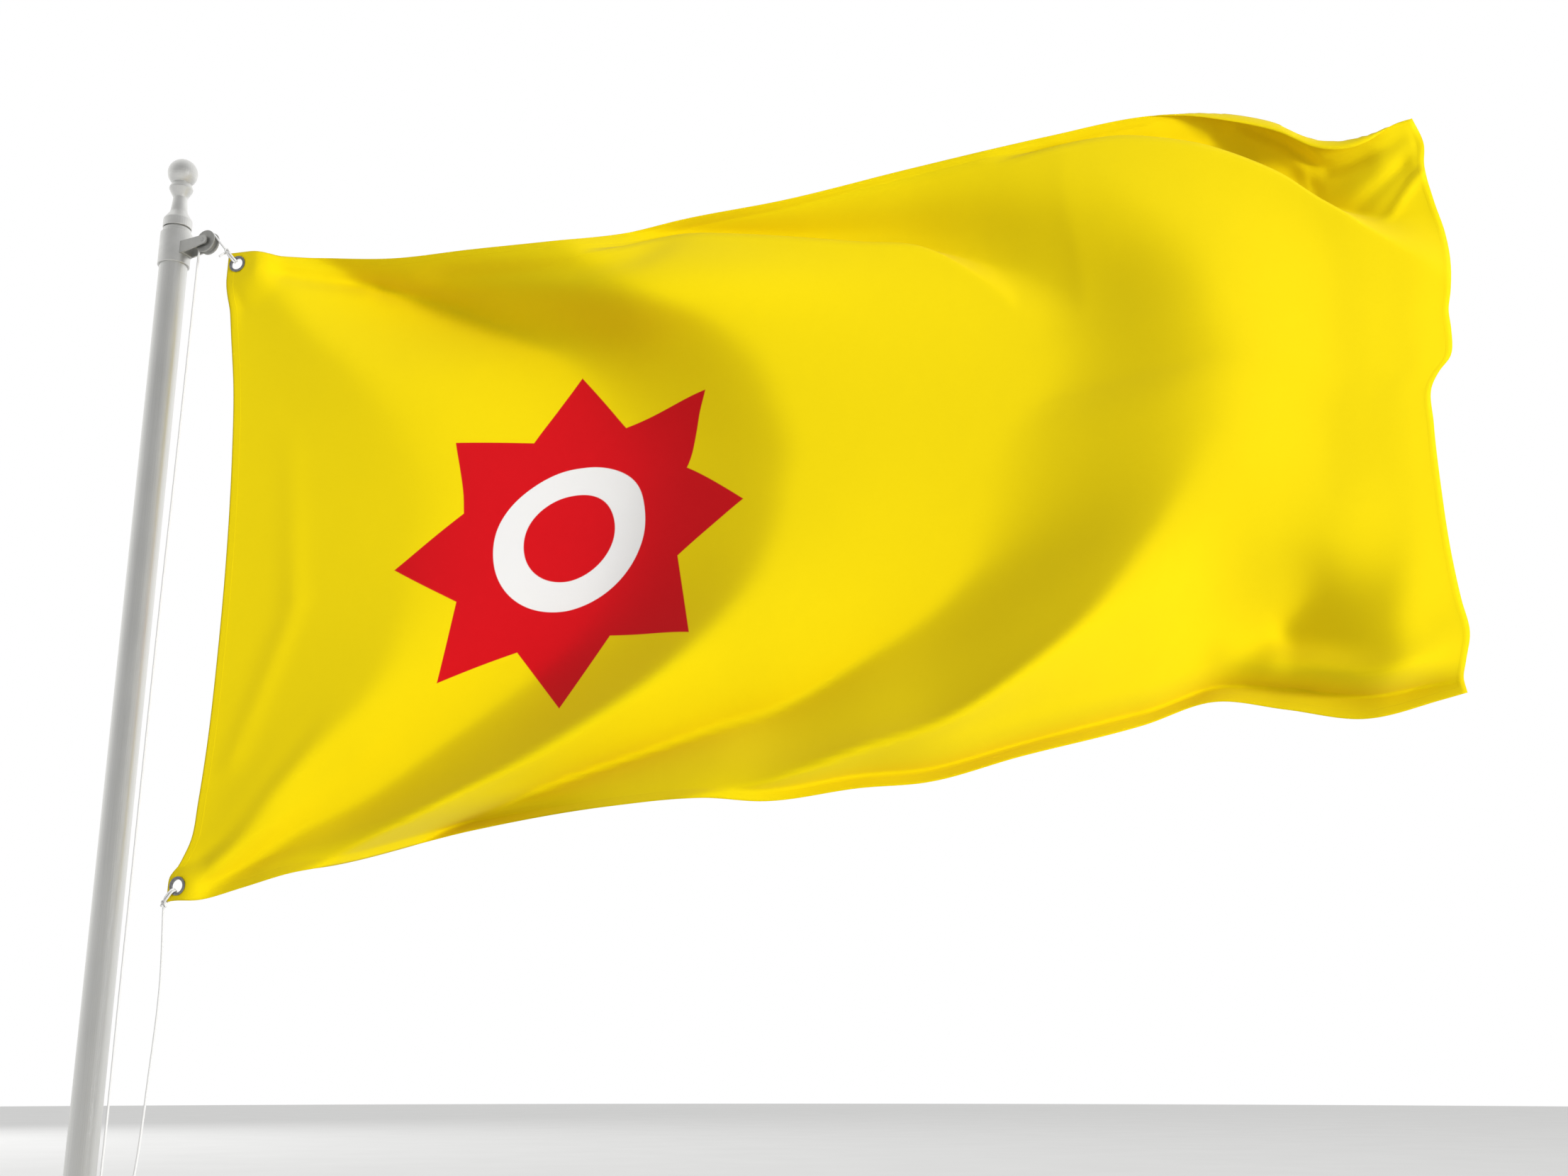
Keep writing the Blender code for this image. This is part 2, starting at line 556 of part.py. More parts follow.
def build_cleat(metal, steel):
    """A plain two-horned cleat with its base pad, and the two screws that hold it."""
    place = arm_place(CLEAT_HEIGHT)
    bar_outline = [(CLEAT_BAR_FROM, -0.030), (CLEAT_BAR_FROM + 0.003, -0.050), (0.058, -CLEAT_HORN + 0.002),
                   (0.060, -CLEAT_HORN), (0.063, -CLEAT_HORN + 0.001), (0.0635, -0.070), (CLEAT_BAR_TO, -0.030),
                   (CLEAT_BAR_TO, 0.030), (0.0635, 0.070), (0.063, CLEAT_HORN - 0.001), (0.060, CLEAT_HORN),
                   (0.058, CLEAT_HORN - 0.002), (CLEAT_BAR_FROM + 0.003, 0.050), (CLEAT_BAR_FROM, 0.030)]
    cleat = extruded("cleat", bar_outline, -CLEAT_HALF_WIDTH, CLEAT_HALF_WIDTH, metal, place)
    ease = cleat.modifiers.new("eased edges", "BEVEL")
    ease.width = 0.0025
    ease.segments = 2
    ease.limit_method = "ANGLE"
    outwards = place @ Matrix.Rotation(math.radians(90), 4, "Y")

    def oval(name, half_width, half_height, start, end):
        straight = half_height - half_width
        ends = arc((-straight, 0), half_width, 90, 270, 10) + arc((straight, 0), half_width, -90, 90, 10)
        points = [(x, y, start) for x, y in ends] + [(x, y, end) for x, y in ends]
        count = len(ends)
        faces = [tuple(range(count)), tuple(range(2 * count - 1, count - 1, -1))]
        faces += [(i, (i + 1) % count, (i + 1) % count + count, i + count) for i in range(count)]
        return add_mesh(name, points, faces, None, outwards)

    cut(cleat, oval("cleat_stem", CLEAT_HALF_WIDTH - 0.0002, CLEAT_STEM, 0.024, CLEAT_BAR_FROM + 0.004), "UNION")
    cut(cleat, oval("cleat_pad", 0.0095, 0.040, 0.020, 0.0310), "UNION")
    seat = turned("cleat_seat_cutter",
                  ((0, -0.1), (POLE_RADIUS + GAP, -0.1), (POLE_RADIUS + GAP, 0.1), (0, 0.1)),
                  None, Matrix.Translation((0, 0, CLEAT_HEIGHT)), steps=48)
    cut(cleat, seat)
    for name, height in (("cleat_screw_upper", 0.0335), ("cleat_screw_lower", -0.0335)):
        head = place @ Matrix.Translation((0.0310 + GAP, 0, height)) @ Matrix.Rotation(math.radians(90), 4, "Y")
        turned(name, ((0, 0), (0.0038, 0), (0.0038, 0.0008), (0.0030, 0.0020), (0.0014, 0.0026), (0, 0.0027)),
               steel, head, steps=16)


def build_flag(cloth):
    """The cloth in its folds, with a hole for each eyelet."""
    inner = CORNER_CELL[0] / FLY
    columns = np.concatenate([[0], np.linspace(inner, 1, FLY_CELLS)])
    flag = sheet_solid("flag_cloth", columns, CLOTH_THICKNESS, cloth)
    for name, (origin, fly, up, out) in corner_axes().items():
        place = axes_matrix(origin, fly, up, out)
        cut(flag, turned(f"{name}_eyelet_cutter", ((0, -0.01), (0.0125, -0.01), (0.0125, 0.01), (0, 0.01)),
                         None, place, steps=24))


def build_eyelets(metal):
    """A two-part ring clamped through the cloth at each hoist corner."""
    face = CLOTH_THICKNESS / 2 + GAP
    half = [(0.0112, 0.0), (0.0113, face + 0.0006), (0.0120, face + 0.0012), (0.0150, face + 0.0012),
            (0.0160, face + 0.0006), (0.0162, face), (0.0121, face)]
    profile = half + [(r, -z) for r, z in half[:0:-1]]
    for name, (origin, fly, up, out) in corner_axes().items():
        turned(f"eyelet_{name}", profile, metal, axes_matrix(origin, fly, up, out), steps=28)


def knot_places():
    """Each knot's middle, in line with its eyelet and the flag's corner."""
    found = {}
    for name, (origin, fly, up, out) in corner_axes().items():
        side = 1 if name == "upper" else -1
        way = (up * side * EYELET_FROM_EDGE - fly * EYELET_FROM_HOIST).normalized()
        found[name] = (origin + way * EYELET_TO_KNOT, way, out)
    return found


def sheave_turn(knot):
    """The halyard round the sheave: straight up on the pole's side, over the top, and off
    towards the knot at the flag's corner."""
    lay = SHEAVE_GROOVE + ROPE_RADIUS + GAP
    out = knot.x * math.cos(ARM_TURN) - knot.y * math.sin(ARM_TURN) - AXLE_OUT
    height = knot.z - AXLE_HEIGHT
    leave = math.degrees(math.atan2(height, out) + math.acos(lay / math.hypot(out, height)))
    return [arm_point(a, 0, z) for a, z in arc((AXLE_OUT, AXLE_HEIGHT), lay, leave, 180, 9)]


def cleat_turns():
    """One and a half turns round the cleat's stem, from the viewer's side to the far side."""
    side = CLEAT_HALF_WIDTH + ROPE_RADIUS + 0.0006
    straight = CLEAT_STEM - CLEAT_HALF_WIDTH
    loop = arc((0, -straight), side, 180, 360, 6) + arc((0, straight), side, 0, 180, 6)
    route = loop + loop[:7]
    start, pitch = 0.0440, 0.0046
    points = []
    for i, (across, height) in enumerate(route):
        out = start - pitch * i / len(loop)
        points.append(arm_point(out, across, CLEAT_HEIGHT + height))
    return points


def build_halyard(rope):
    """One rope: from the upper knot over the sheave, down to the cleat, round it, and up to
    the lower knot. A loop ties each knot to its eyelet, and the upper knot has a loose tail."""
    knots = knot_places()
    upper, lower = knots["upper"][0], knots["lower"][0]
    over = sheave_turn(upper)
    leave = (over[0] - upper).normalized()
    down = [arm_point(out, 0, height) for out, height in ((0.0565, 1.80), (0.0511, 1.41), (0.0475, 0.82), (0.0462, 0.50))]
    down += [arm_point(0.0454, -0.0040, 0.37), arm_point(0.0446, -0.0096, 0.265)]
    rise = [arm_point(out, 0.0098, height) for out, height in RUN_UP]
    arrive = (rise[-1] - lower).normalized()
    route = [upper + leave * (KNOT_RADIUS + GAP)] + over + down + cleat_turns() + rise
    route.append(lower + arrive * (KNOT_RADIUS + GAP))
    tube("halyard", route, ROPE_RADIUS, rope)
    for name, (middle, way, out) in knots.items():
        turned(f"knot_{name}", [(0, -KNOT_RADIUS)] + arc((0, 0), KNOT_RADIUS, -60, 60, 4) + [(0, KNOT_RADIUS)],
               rope, Matrix.Translation(middle), steps=12)
        origin = middle - way * EYELET_TO_KNOT
        reach = KNOT_RADIUS - 0.0005
        half = [(EYELET_TO_KNOT - reach, 0.0032), (0.027, 0.0052), (0.020, 0.0056), (0.0145, 0.0056), (0.0105, 0.0042),
                (0.0086, 0.0016)]
        path = half + [(along_way, -off) for along_way, off in half[::-1]]
        tube(f"loop_{name}", [origin + way * a + out * b for a, b in path], ROPE_RADIUS, rope)
    tail_way = Vector((-0.62, -0.30, -0.72)).normalized()
    side = Vector((0.35, -0.9, 0.1)).normalized()
    tail = [upper + tail_way * d + side * bow for d, bow in ((0.0058, 0), (0.010, 0.0008), (0.014, 0.0010), (0.019, 0.0002))]
    tube("halyard_tail", tail, ROPE_RADIUS, rope)


def main():
    clear_scene()
    pole_metal = material("anodised_aluminium", (0.60, 0.60, 0.59), 0.35, 1.0)
    truck_metal = material("cast_aluminium", (0.22, 0.22, 0.21), 0.5, 1.0)
    eyelet_metal = material("nickelled_brass", (0.30, 0.30, 0.31), 0.4, 1.0)
    screw_metal = material("stainless_steel", (0.55, 0.55, 0.55), 0.3, 1.0)
    flag_cloth = material("knitted_polyester", (0.93, 0.72, 0.01), 0.7, 0.0)
    rope = material("braided_polyester_rope", (0.80, 0.80, 0.80), 0.8, 0.0)
    build_pole(pole_metal)
    build_collar(pole_metal)
    build_finial(pole_metal)
    build_bracket(truck_metal)
    build_sheave(truck_metal, screw_metal)
    build_cleat(pole_metal, screw_metal)
    build_flag(flag_cloth)
    build_eyelets(eyelet_metal)
    build_halyard(rope)


main()
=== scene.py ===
"""The finish of the city flag and of the pole that flies it.

Metres, +Z up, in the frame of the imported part: the pole stands on the origin, the flag
flies along +X and is seen from -Y.
"""

import math

import bpy
import bmesh
import numpy as np
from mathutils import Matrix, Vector


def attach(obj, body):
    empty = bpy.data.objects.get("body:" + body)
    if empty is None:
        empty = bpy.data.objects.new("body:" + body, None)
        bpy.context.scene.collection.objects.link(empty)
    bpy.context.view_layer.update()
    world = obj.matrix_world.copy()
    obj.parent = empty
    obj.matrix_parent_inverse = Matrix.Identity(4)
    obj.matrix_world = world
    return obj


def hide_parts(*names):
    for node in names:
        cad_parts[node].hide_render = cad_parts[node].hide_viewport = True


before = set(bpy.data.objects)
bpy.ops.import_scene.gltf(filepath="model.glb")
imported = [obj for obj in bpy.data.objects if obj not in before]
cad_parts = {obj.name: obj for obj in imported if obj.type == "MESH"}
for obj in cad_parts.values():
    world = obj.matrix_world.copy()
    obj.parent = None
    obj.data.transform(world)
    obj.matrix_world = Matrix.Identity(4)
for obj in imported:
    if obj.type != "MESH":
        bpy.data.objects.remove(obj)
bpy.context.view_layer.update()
MAST = "mast"
MATHS = "ShaderNodeMath"

# Camera: it stands on the right of the pole, low, and looks up by 15.6 degrees.
EYE = Vector((1.168, -3.05, 0.66))
LOOK_UP = math.radians(15.6)
LENS_MM = 40.07
SENSOR_MM = 36

# Sizes of the flag, as cut
FLY = 2.44
HOIST = 1.22
CLOTH_THICKNESS = 0.0008
HEM_WIDTH = 0.014
EYELET_FROM_HOIST = 0.020
EYELET_FROM_EDGE = 0.024
EYELET_HOLE = 0.0128
# The eyelets: middle, how far the cloth there turns towards the viewer, and how far it
# leans along the fly, both in degrees
CORNERS = (
    ("upper", Vector((0.141, -0.055, 2.128)), 14, 3),
    ("lower", Vector((0.133, -0.045, 0.971)), 20, 2),
)
# How far round each eyelet the cloth lies flat, and over what width it turns into its folds
HELD_FLAT = {"upper": (0.034, 0.052), "lower": (0.016, 0.034)}

# The finer mesh of the cloth: cells along the fly, closer together at the hoist
FINE_CORNER = 0.060
FINE_CORNER_COLUMNS = 18
FINE_COLUMNS = 232
# Its rows up the hoist: even ones along the bottom hem, then cells on each stretch from
# there over both shelves to the top edge
FINE_BOTTOM = 0.045
FINE_BOTTOM_ROWS = 12
FINE_ROW_CELLS = (92, 10, 22, 10, 24)
# Points nearer an eyelet's middle than its hole are pushed out to the hole's edge, and
# cells that lie this much further in are left out.
HOLE_INSIDE = 0.0022
# Fold lines are rounded over this share of the hoist to each side, less near the bottom
# edge: over this part of it there, and more by the whole of it for each such share above.
ROUNDING = 0.006
ROUNDED_AT_BOTTOM = 0.3
ROUNDED_MORE_OVER = 0.15

# Truck and halyard
ARM_TURN = math.radians(24)
AXLE_OUT = 0.080
AXLE_HEIGHT = 2.184
SHEAVE_GROOVE = 0.017
ROPE_RADIUS = 0.002
GAP = 0.0003
KNOT_RADIUS = 0.0055
EYELET_TO_KNOT = 0.0385
# The tied ends: the rope is drawn in a little where it is tied
TIED_RADIUS = ROPE_RADIUS * 0.92
TIED_STEP = 0.0012
# The long runs: a point this often, and no more than this many between two given places
ROPE_STEP = 0.006
MOST_POINTS = 24
KNOT_SIZE = 0.0056
KNOT_TURN = 0.6
KNOT_ROPE_RADIUS = 0.0019
KNOT_SIDES = 12
KNOT_STEPS = 72
# A knot is shorter along the rope than across it, and less deep still.
KNOT_SQUASH = 0.85
KNOT_DEPTH = 0.42
# The loop through an eyelet: distance from the eyelet's middle, and from the cloth
LOOP_HALF = ((0.027, 0.0052), (0.020, 0.0056), (0.0145, 0.0056), (0.0105, 0.0042), (0.0086, 0.0016))
# How far from the cloth it leaves the knot, and how far it reaches into it
LOOP_LEAVES_KNOT = 0.0032
LOOP_INTO_KNOT = 0.0005
# Its two turns lie this far to each side. They meet in the knot, at this distance from the
# eyelet, and come together over this length.
LOOP_TURN_ASIDE = 0.0021
LOOP_MEETS_AT = 0.036
LOOP_MEETS_OVER = 0.010
# The free end: its way, the way it bows, and its points as distance from the knot and bow
TAIL_WAY = Vector((-0.62, -0.30, -0.72))
TAIL_BOW = Vector((0.35, -0.9, 0.1))
TAIL = ((0.0058, 0), (0.010, 0.0008), (0.014, 0.0010), (0.019, 0.0002))
CLEAT_HEIGHT = 0.220
CLEAT_HALF_WIDTH = 0.007
CLEAT_STEM = 0.026
# The turns round the cleat: clear of its stem, how far out they start, and their pitch
CLEAT_ROPE_GAP = 0.0006
CLEAT_TURNS_START = 0.0440
CLEAT_TURNS_PITCH = 0.0046
# The halyard down from the sheave to the cleat: out along the arm, across it, and height
RUN_DOWN = (
    (0.0565, 0, 1.80), (0.0511, 0, 1.41), (0.0475, 0, 0.82), (0.0462, 0, 0.50),
    (0.0454, -0.0040, 0.37), (0.0446, -0.0096, 0.265),
)
# And up again towards the lower knot, on the cleat's far side: out along the arm, and height
RISE_ASIDE = 0.0098
RUN_UP = (
    (0.047, 0.262), (0.058, 0.310), (0.078, 0.370), (0.097, 0.440), (0.110, 0.520), (0.118, 0.640),
    (0.125, 0.800),
)

# The four edges of the flag as seen on the upright plane y = 0, as x and z.
TOP_EDGE = (
    (0.109, 2.162), (0.150, 2.170), (0.267, 2.168), (0.417, 2.167), (0.566, 2.186), (0.716, 2.203),
    (0.866, 2.221), (0.971, 2.249), (1.168, 2.291), (1.397, 2.354), (1.689, 2.430), (1.860, 2.470),
    (2.007, 2.484), (2.061, 2.480), (2.122, 2.466), (2.200, 2.428), (2.240, 2.423), (2.310, 2.436),
    (2.375, 2.462), (2.400, 2.468),
)
BOTTOM_EDGE = (
    (0.104, 0.945), (0.160, 0.952), (0.230, 0.973), (0.311, 0.998), (0.391, 1.012), (0.620, 1.071),
    (0.866, 1.115), (1.030, 1.129), (1.127, 1.123), (1.306, 1.147), (1.416, 1.156), (1.584, 1.202),
    (1.808, 1.259), (1.936, 1.301), (2.061, 1.287), (2.199, 1.270), (2.342, 1.305), (2.388, 1.318),
)
HOIST_EDGE = (
    (0.104, 0.945), (0.106, 0.968), (0.114, 1.002), (0.134, 1.056), (0.140, 1.120), (0.146, 1.209),
    (0.151, 1.400), (0.151, 1.560), (0.145, 1.760), (0.136, 1.900), (0.121, 2.020), (0.112, 2.100),
    (0.109, 2.162),
)
FLY_EDGE = (
    (2.388, 1.318), (2.384, 1.345), (2.391, 1.375), (2.404, 1.430), (2.395, 1.490), (2.385, 1.586),
    (2.380, 1.700), (2.379, 1.830), (2.383, 1.905), (2.400, 1.935), (2.424, 1.965), (2.431, 2.020),
    (2.430, 2.060), (2.438, 2.100), (2.444, 2.160), (2.440, 2.220), (2.425, 2.290), (2.414, 2.370),
    (2.418, 2.410), (2.400, 2.468),
)

# The folds. Each line runs from the bottom edge to the top edge. Its place is a share of
# the fly at each of these heights, and its depth is y there, in millimetres.
HEIGHTS = (0.0, 0.12, 0.28, 0.45, 0.62, 0.78, 0.90, 1.0)
FOLDS = (
    # line, place at each height, depth at each height, how sharp its ridge is at each height
    ("hoist edge", (0, 0, 0, 0, 0, 0, 0, 0), (-38, -40, -44, -46, -48, -48, -48, -50),
     (0, 0, 0, 0, 0, 0, 0, 0)),
    ("first crest", (0.012, 0.052, 0.130, 0.148, 0.146, 0.105, 0.055, 0.018),
     (-46, -64, -66, -52, -54, -62, -58, -56),
     (0.6, 0.9, 0.7, 0.3, 0.2, 0.3, 0.6, 0.6)),
    ("first trough", (0.025, 0.155, 0.285, 0.318, 0.312, 0.262, 0.170, 0.070),
     (-38, 2, 18, 16, 16, 28, 50, -22),
     (0.2, 0.3, 0.2, 0, 0, 0.4, 0.8, 0.6)),
    ("second crest", (0.110, 0.273, 0.398, 0.448, 0.442, 0.400, 0.328, 0.270),
     (-86, -106, -84, -68, -70, -94, -144, -126),
     (0.9, 1.0, 0.8, 0.6, 0.5, 0.3, 0.3, 0.3)),
    ("second trough", (0.190, 0.415, 0.590, 0.625, 0.663, 0.640, 0.540, 0.330),
     (-18, 12, -12, -42, -42, -34, -44, -84),
     (0.9, 1.0, 0.3, 0, 0, 0.2, 0, 0)),
    ("third crest", (0.393, 0.625, 0.752, 0.815, 0.805, 0.778, 0.735, 0.690),
     (-144, -166, -144, -132, -120, -110, -100, -86),
     (0.8, 0.9, 0.4, 0.1, 0.1, 0.1, 0.2, 0.2)),
    ("third trough", (0.780, 0.852, 0.900, 0.920, 0.915, 0.915, 0.920, 0.900),
     (10, 14, -94, -95, -86, -78, -84, -85),
     (0.8, 0.8, 0, 0, 0, 0, 0, 0)),
    ("fourth crest", (0.930, 0.946, 0.968, 0.965, 0.965, 0.965, 0.965, 0.965),
     (-64, -82, -92, -92, -76, -72, -82, -85),
     (0.6, 0.5, 0.3, 0.3, 0.3, 0.2, 0, 0)),
    ("fly edge", (1, 1, 1, 1, 1, 1, 1, 1), (-60, -68, -82, -82, -60, -62, -78, -80),
     (0.6, 0.6, 0.6, 0.6, 0.6, 0.6, 0, 0)),
)
# Ridges are rounded over this share of the fly to each side: the depth is the mean of five
# places, each with its weight.
RIDGE_ROUNDING = 0.012
RIDGE_WEIGHTS = ((-1, 0.12), (-0.5, 0.22), (0, 0.32), (0.5, 0.22), (1, 0.12))
# The slope at a ridge whose sharpness is 1, where a straight side has a slope of 1
SHARPEST_SLOPE = 1.4

# Shelves, where the cloth turns straight back behind a fold and comes up again further
# off. Where a shelf is hidden by the fold below it, none of its cloth shows.
SHELVES = (
    # share of the fly, height seen as a share of the hoist, step back in mm, cloth it takes
    # up as a share of the hoist, and how far it is hidden
    ("behind the second crest", (
        (0.28, 0.982, 0, 0.016, 0.0), (0.33, 0.982, 22, 0.018, 0.8), (0.37, 0.975, 44, 0.036, 1.0),
        (0.41, 0.958, 58, 0.046, 1.0), (0.45, 0.938, 66, 0.054, 1.0), (0.52, 0.893, 66, 0.054, 1.0),
        (0.57, 0.862, 54, 0.052, 0.9), (0.61, 0.812, 34, 0.066, 0.4), (0.65, 0.745, 13, 0.076, 0.0),
        (0.69, 0.690, 0, 0.060, 0.0))),
    ("behind the third crest", (
        (0.63, 0.984, 0, 0.016, 0.0), (0.69, 0.984, 24, 0.020, 0.9), (0.74, 0.976, 50, 0.040, 1.0),
        (0.80, 0.945, 82, 0.066, 1.0), (0.85, 0.915, 96, 0.080, 1.0), (0.88, 0.898, 94, 0.080, 1.0),
        (0.92, 0.876, 78, 0.078, 0.9), (0.955, 0.842, 50, 0.090, 0.4), (1.0, 0.790, 30, 0.130, 0.0))),
)
SHELF_DIP = 0.012
# Above a shelf the cloth leans forward again by this share of the step back.
SHELF_LEAN = 0.6

# Where the bottom edge turns in under the cloth above it and its hem lips out again.
BOTTOM_HEM = (
    # share of the fly, height of the turn, how far it goes in, how far the hem lips out, mm
    (0.00, 20, 0, 0), (0.07, 20, 0, 0), (0.12, 16, 28, 0), (0.16, 17, 56, 0), (0.21, 18, 74, 4),
    (0.26, 16, 64, 4), (0.31, 14, 16, 4), (0.38, 16, 6, 4), (0.45, 20, 26, 20), (0.55, 22, 34, 38),
    (0.64, 22, 36, 42), (0.72, 24, 40, 40), (0.78, 20, 46, 34), (0.84, 32, 60, 34),
    (0.90, 40, 66, 38), (0.96, 34, 52, 30), (1.00, 24, 22, 12),
)
BOTTOM_REACH = 0.042

# Where the hem of the top edge is rolled over towards the viewer.
TOP_ROLL = (
    # share of the fly, cloth rolled over and how far it stands forward, mm
    (0.00, 0, 0), (0.77, 0, 0), (0.80, 10, 4), (0.84, 28, 18), (0.90, 34, 24), (0.95, 26, 16),
    (0.98, 5, 3), (1.00, 0, 0),
)
# How far round the hem is rolled, as a share of half a turn, and how full the roll is
ROLL_TURN = 0.75
ROLL_FULLNESS = 0.7
# From this share of the hoist on, and over this one, the cloth under the roll is drawn up to
# the top edge. The part rolled over comes down by this share of its width.
ROLL_DRAWS_FROM, ROLL_DRAWS_OVER = 0.90, 0.10
ROLL_COMES_DOWN = 0.8

# Where the mesh's rows along the shelves run past the shelves' ends, as shares of the hoist.
ROWS_OFF_SHELVES = (
    # share of the fly, lower and upper row of the first shelf, then of the second
    (0.0, 0.787, 0.803, 0.886, 0.902), (0.10, 0.836, 0.852, 0.915, 0.931),
    (0.20, 0.915, 0.931, 0.959, 0.975), (0.28, 0.9663, 0.9823, 0.9865, 0.9915),
    (0.34, 0.966, 0.982, 0.9865, 0.9915), (0.42, 0.913, 0.959, 0.980, 0.9865),
    (0.63, 0.730, 0.790, 0.9683, 0.9843), (0.69, 0.6486, 0.7086, 0.967, 0.984),
    (0.80, 0.610, 0.660, 0.885, 0.945), (1.0, 0.590, 0.620, 0.690, 0.790),
)

# Small creases in the cloth. Each runs straight from one point to another, as shares of
# the fly and the hoist, and is a soft ridge towards the viewer, or a trough if negative.
CREASES = (
    # name, from, to, half width in mm, height in mm at its start and at its end
    ("valley from the upper eyelet", (0.028, 0.972), (0.118, 0.950), 15, -9, -15),
    ("valley further on", (0.118, 0.950), (0.215, 0.888), 21, -15, -5),
    ("down from the upper eyelet", (0.006, 0.965), (0.013, 0.900), 7, -5, 0),
    ("beside it", (0.002, 0.960), (0.004, 0.860), 8, 4, 0),
    ("from the lower eyelet up", (0.012, 0.050), (0.085, 0.240), 22, -5, -1),
    ("from the lower eyelet, bright side", (0.018, 0.034), (0.140, 0.190), 22, 5, 2),
    ("from the lower eyelet along the hem", (0.022, 0.022), (0.150, 0.060), 14, -5, -2),
    ("across the corner of the fly", (1.0, 0.904), (0.950, 0.838), 9, 11, 3),
    ("hollow behind it", (0.985, 0.925), (0.930, 0.880), 16, -8, -3),
    ("folded tip of the fly", (1.0, 0.992), (0.994, 0.940), 7, -7, -3),
    ("under the rolled hem", (0.845, 0.966), (0.912, 0.940), 11, -12, -16),
    ("under the rolled hem, towards the fly", (0.912, 0.940), (0.985, 0.968), 10, -14, -4),
    ("valley under the rolled hem", (0.82, 0.960), (0.900, 0.915), 26, -12, -12),
    ("valley towards the fly", (0.900, 0.915), (0.955, 0.945), 24, -10, -4),
    ("under the top edge", (0.16, 0.955), (0.36, 0.935), 24, -8, -10),
    ("small fold by the hoist", (0.018, 0.19), (0.058, 0.42), 22, 3, 4),
    ("small fold by the hoist, above", (0.058, 0.42), (0.045, 0.70), 22, 4, 1),
    ("hem of the top edge", (0.33, 0.988), (0.76, 0.988), 5, -3, -3),
    ("lower fly hollow", (0.85, 0.090), (0.985, 0.130), 40, -14, -4),
    ("lower fly swell", (0.80, 0.070), (0.97, 0.075), 26, 8, 10),
)
# A crease fades in and out past its two points, in shares of its length: where it starts and
# over how much it grows, and where it ends and over how much it fades.
CREASE_STARTS, CREASE_GROWS_OVER = -0.08, 0.16
CREASE_ENDS, CREASE_FADES_OVER = 1.15, 0.30

# The lamps point at the middle of the flag: name, place, width in metres, power in watts
FLAG_MIDDLE = Vector((1.2, 0.0, 1.6))
LAMPS = (
    ("key", Vector((15.5, -8.5, 1.7)), 3.2, 2380),
    ("back", Vector((-12.0, 16.0, 9.0)), 9.0, 820),
)
# How strongly the surround lights things from below and from above, and how bright the
# studio is that metal mirrors, in front of the flag and behind it
LIT_BELOW, LIT_ABOVE = 0.36, 0.80
MIRRORED_IN_FRONT, MIRRORED_BEHIND = 0.42, 1.15
FLOOR_RADIUS = 40.0
FLOOR_MIDDLE = Vector((1.2, 1.0, -0.001))


def make_camera():
    """The camera, placed as the photograph was taken."""
    lens = bpy.data.cameras.new("camera")
    lens.lens = LENS_MM
    lens.sensor_width = SENSOR_MM
    holder = bpy.data.objects.new("camera", lens)
    bpy.context.scene.collection.objects.link(holder)
    holder.location = EYE
    holder.rotation_euler = (math.radians(90) + LOOK_UP, 0, 0)
    bpy.context.scene.camera = holder


def arm_point(out, across, height):
    """A point of the truck or cleat: out along the arm, across it away from the viewer, up."""
    x = out * math.cos(ARM_TURN) + across * math.sin(ARM_TURN)
    y = -out * math.sin(ARM_TURN) + across * math.cos(ARM_TURN)
    return Vector((x, y, height))


def arc(centre, radius, start, end, steps):
    """Points on an arc, angles in degrees."""
    found = []
    for i in range(steps + 1):
        angle = math.radians(start + (end - start) * i / steps)
        found.append((centre[0] + radius * math.cos(angle), centre[1] + radius * math.sin(angle)))
    return found


def corner_axes():
    """Each eyelet's middle and the flag's own directions there: along the fly, up the
    hoist, and out of the face that the viewer sees."""
    found = {}
    for name, middle, turn, lean in CORNERS:
        turn, lean = math.radians(turn), math.radians(lean)
        fly = Vector((math.cos(turn), -math.sin(turn), 0))
        up = Vector((math.sin(lean), 0, math.cos(lean)))
        up = (up - fly * up.dot(fly)).normalized()
        found[name] = (middle, fly, up, fly.cross(up))
    return found


def knot_places():
    """Each knot's middle, the way from its eyelet to it, and out of the cloth there."""
    found = {}
    for name, (origin, fly, up, out) in corner_axes().items():
        side = 1 if name == "upper" else -1
        way = (up * side * EYELET_FROM_EDGE - fly * EYELET_FROM_HOIST).normalized()
        found[name] = (origin + way * EYELET_TO_KNOT, way, out)
    return found


def sheave_turn(knot):
    """The halyard round the sheave, from where it leaves towards the knot."""
    lay = SHEAVE_GROOVE + ROPE_RADIUS + GAP
    out = knot.x * math.cos(ARM_TURN) - knot.y * math.sin(ARM_TURN) - AXLE_OUT
    height = knot.z - AXLE_HEIGHT
    leave = math.degrees(math.atan2(height, out) + math.acos(lay / math.hypot(out, height)))
    return [arm_point(a, 0, z) for a, z in arc((AXLE_OUT, AXLE_HEIGHT), lay, leave, 180, 9)]


def cleat_turns():
    """One and a half turns round the cleat's stem."""
    side = CLEAT_HALF_WIDTH + ROPE_RADIUS + CLEAT_ROPE_GAP
    straight = CLEAT_STEM - CLEAT_HALF_WIDTH
    loop = arc((0, -straight), side, 180, 360, 6) + arc((0, straight), side, 0, 180, 6)
    route = loop + loop[:7]
    points = []
    for i, (across, height) in enumerate(route):
        out = CLEAT_TURNS_START - CLEAT_TURNS_PITCH * i / len(loop)
        points.append(arm_point(out, across, CLEAT_HEIGHT + height))
    return points


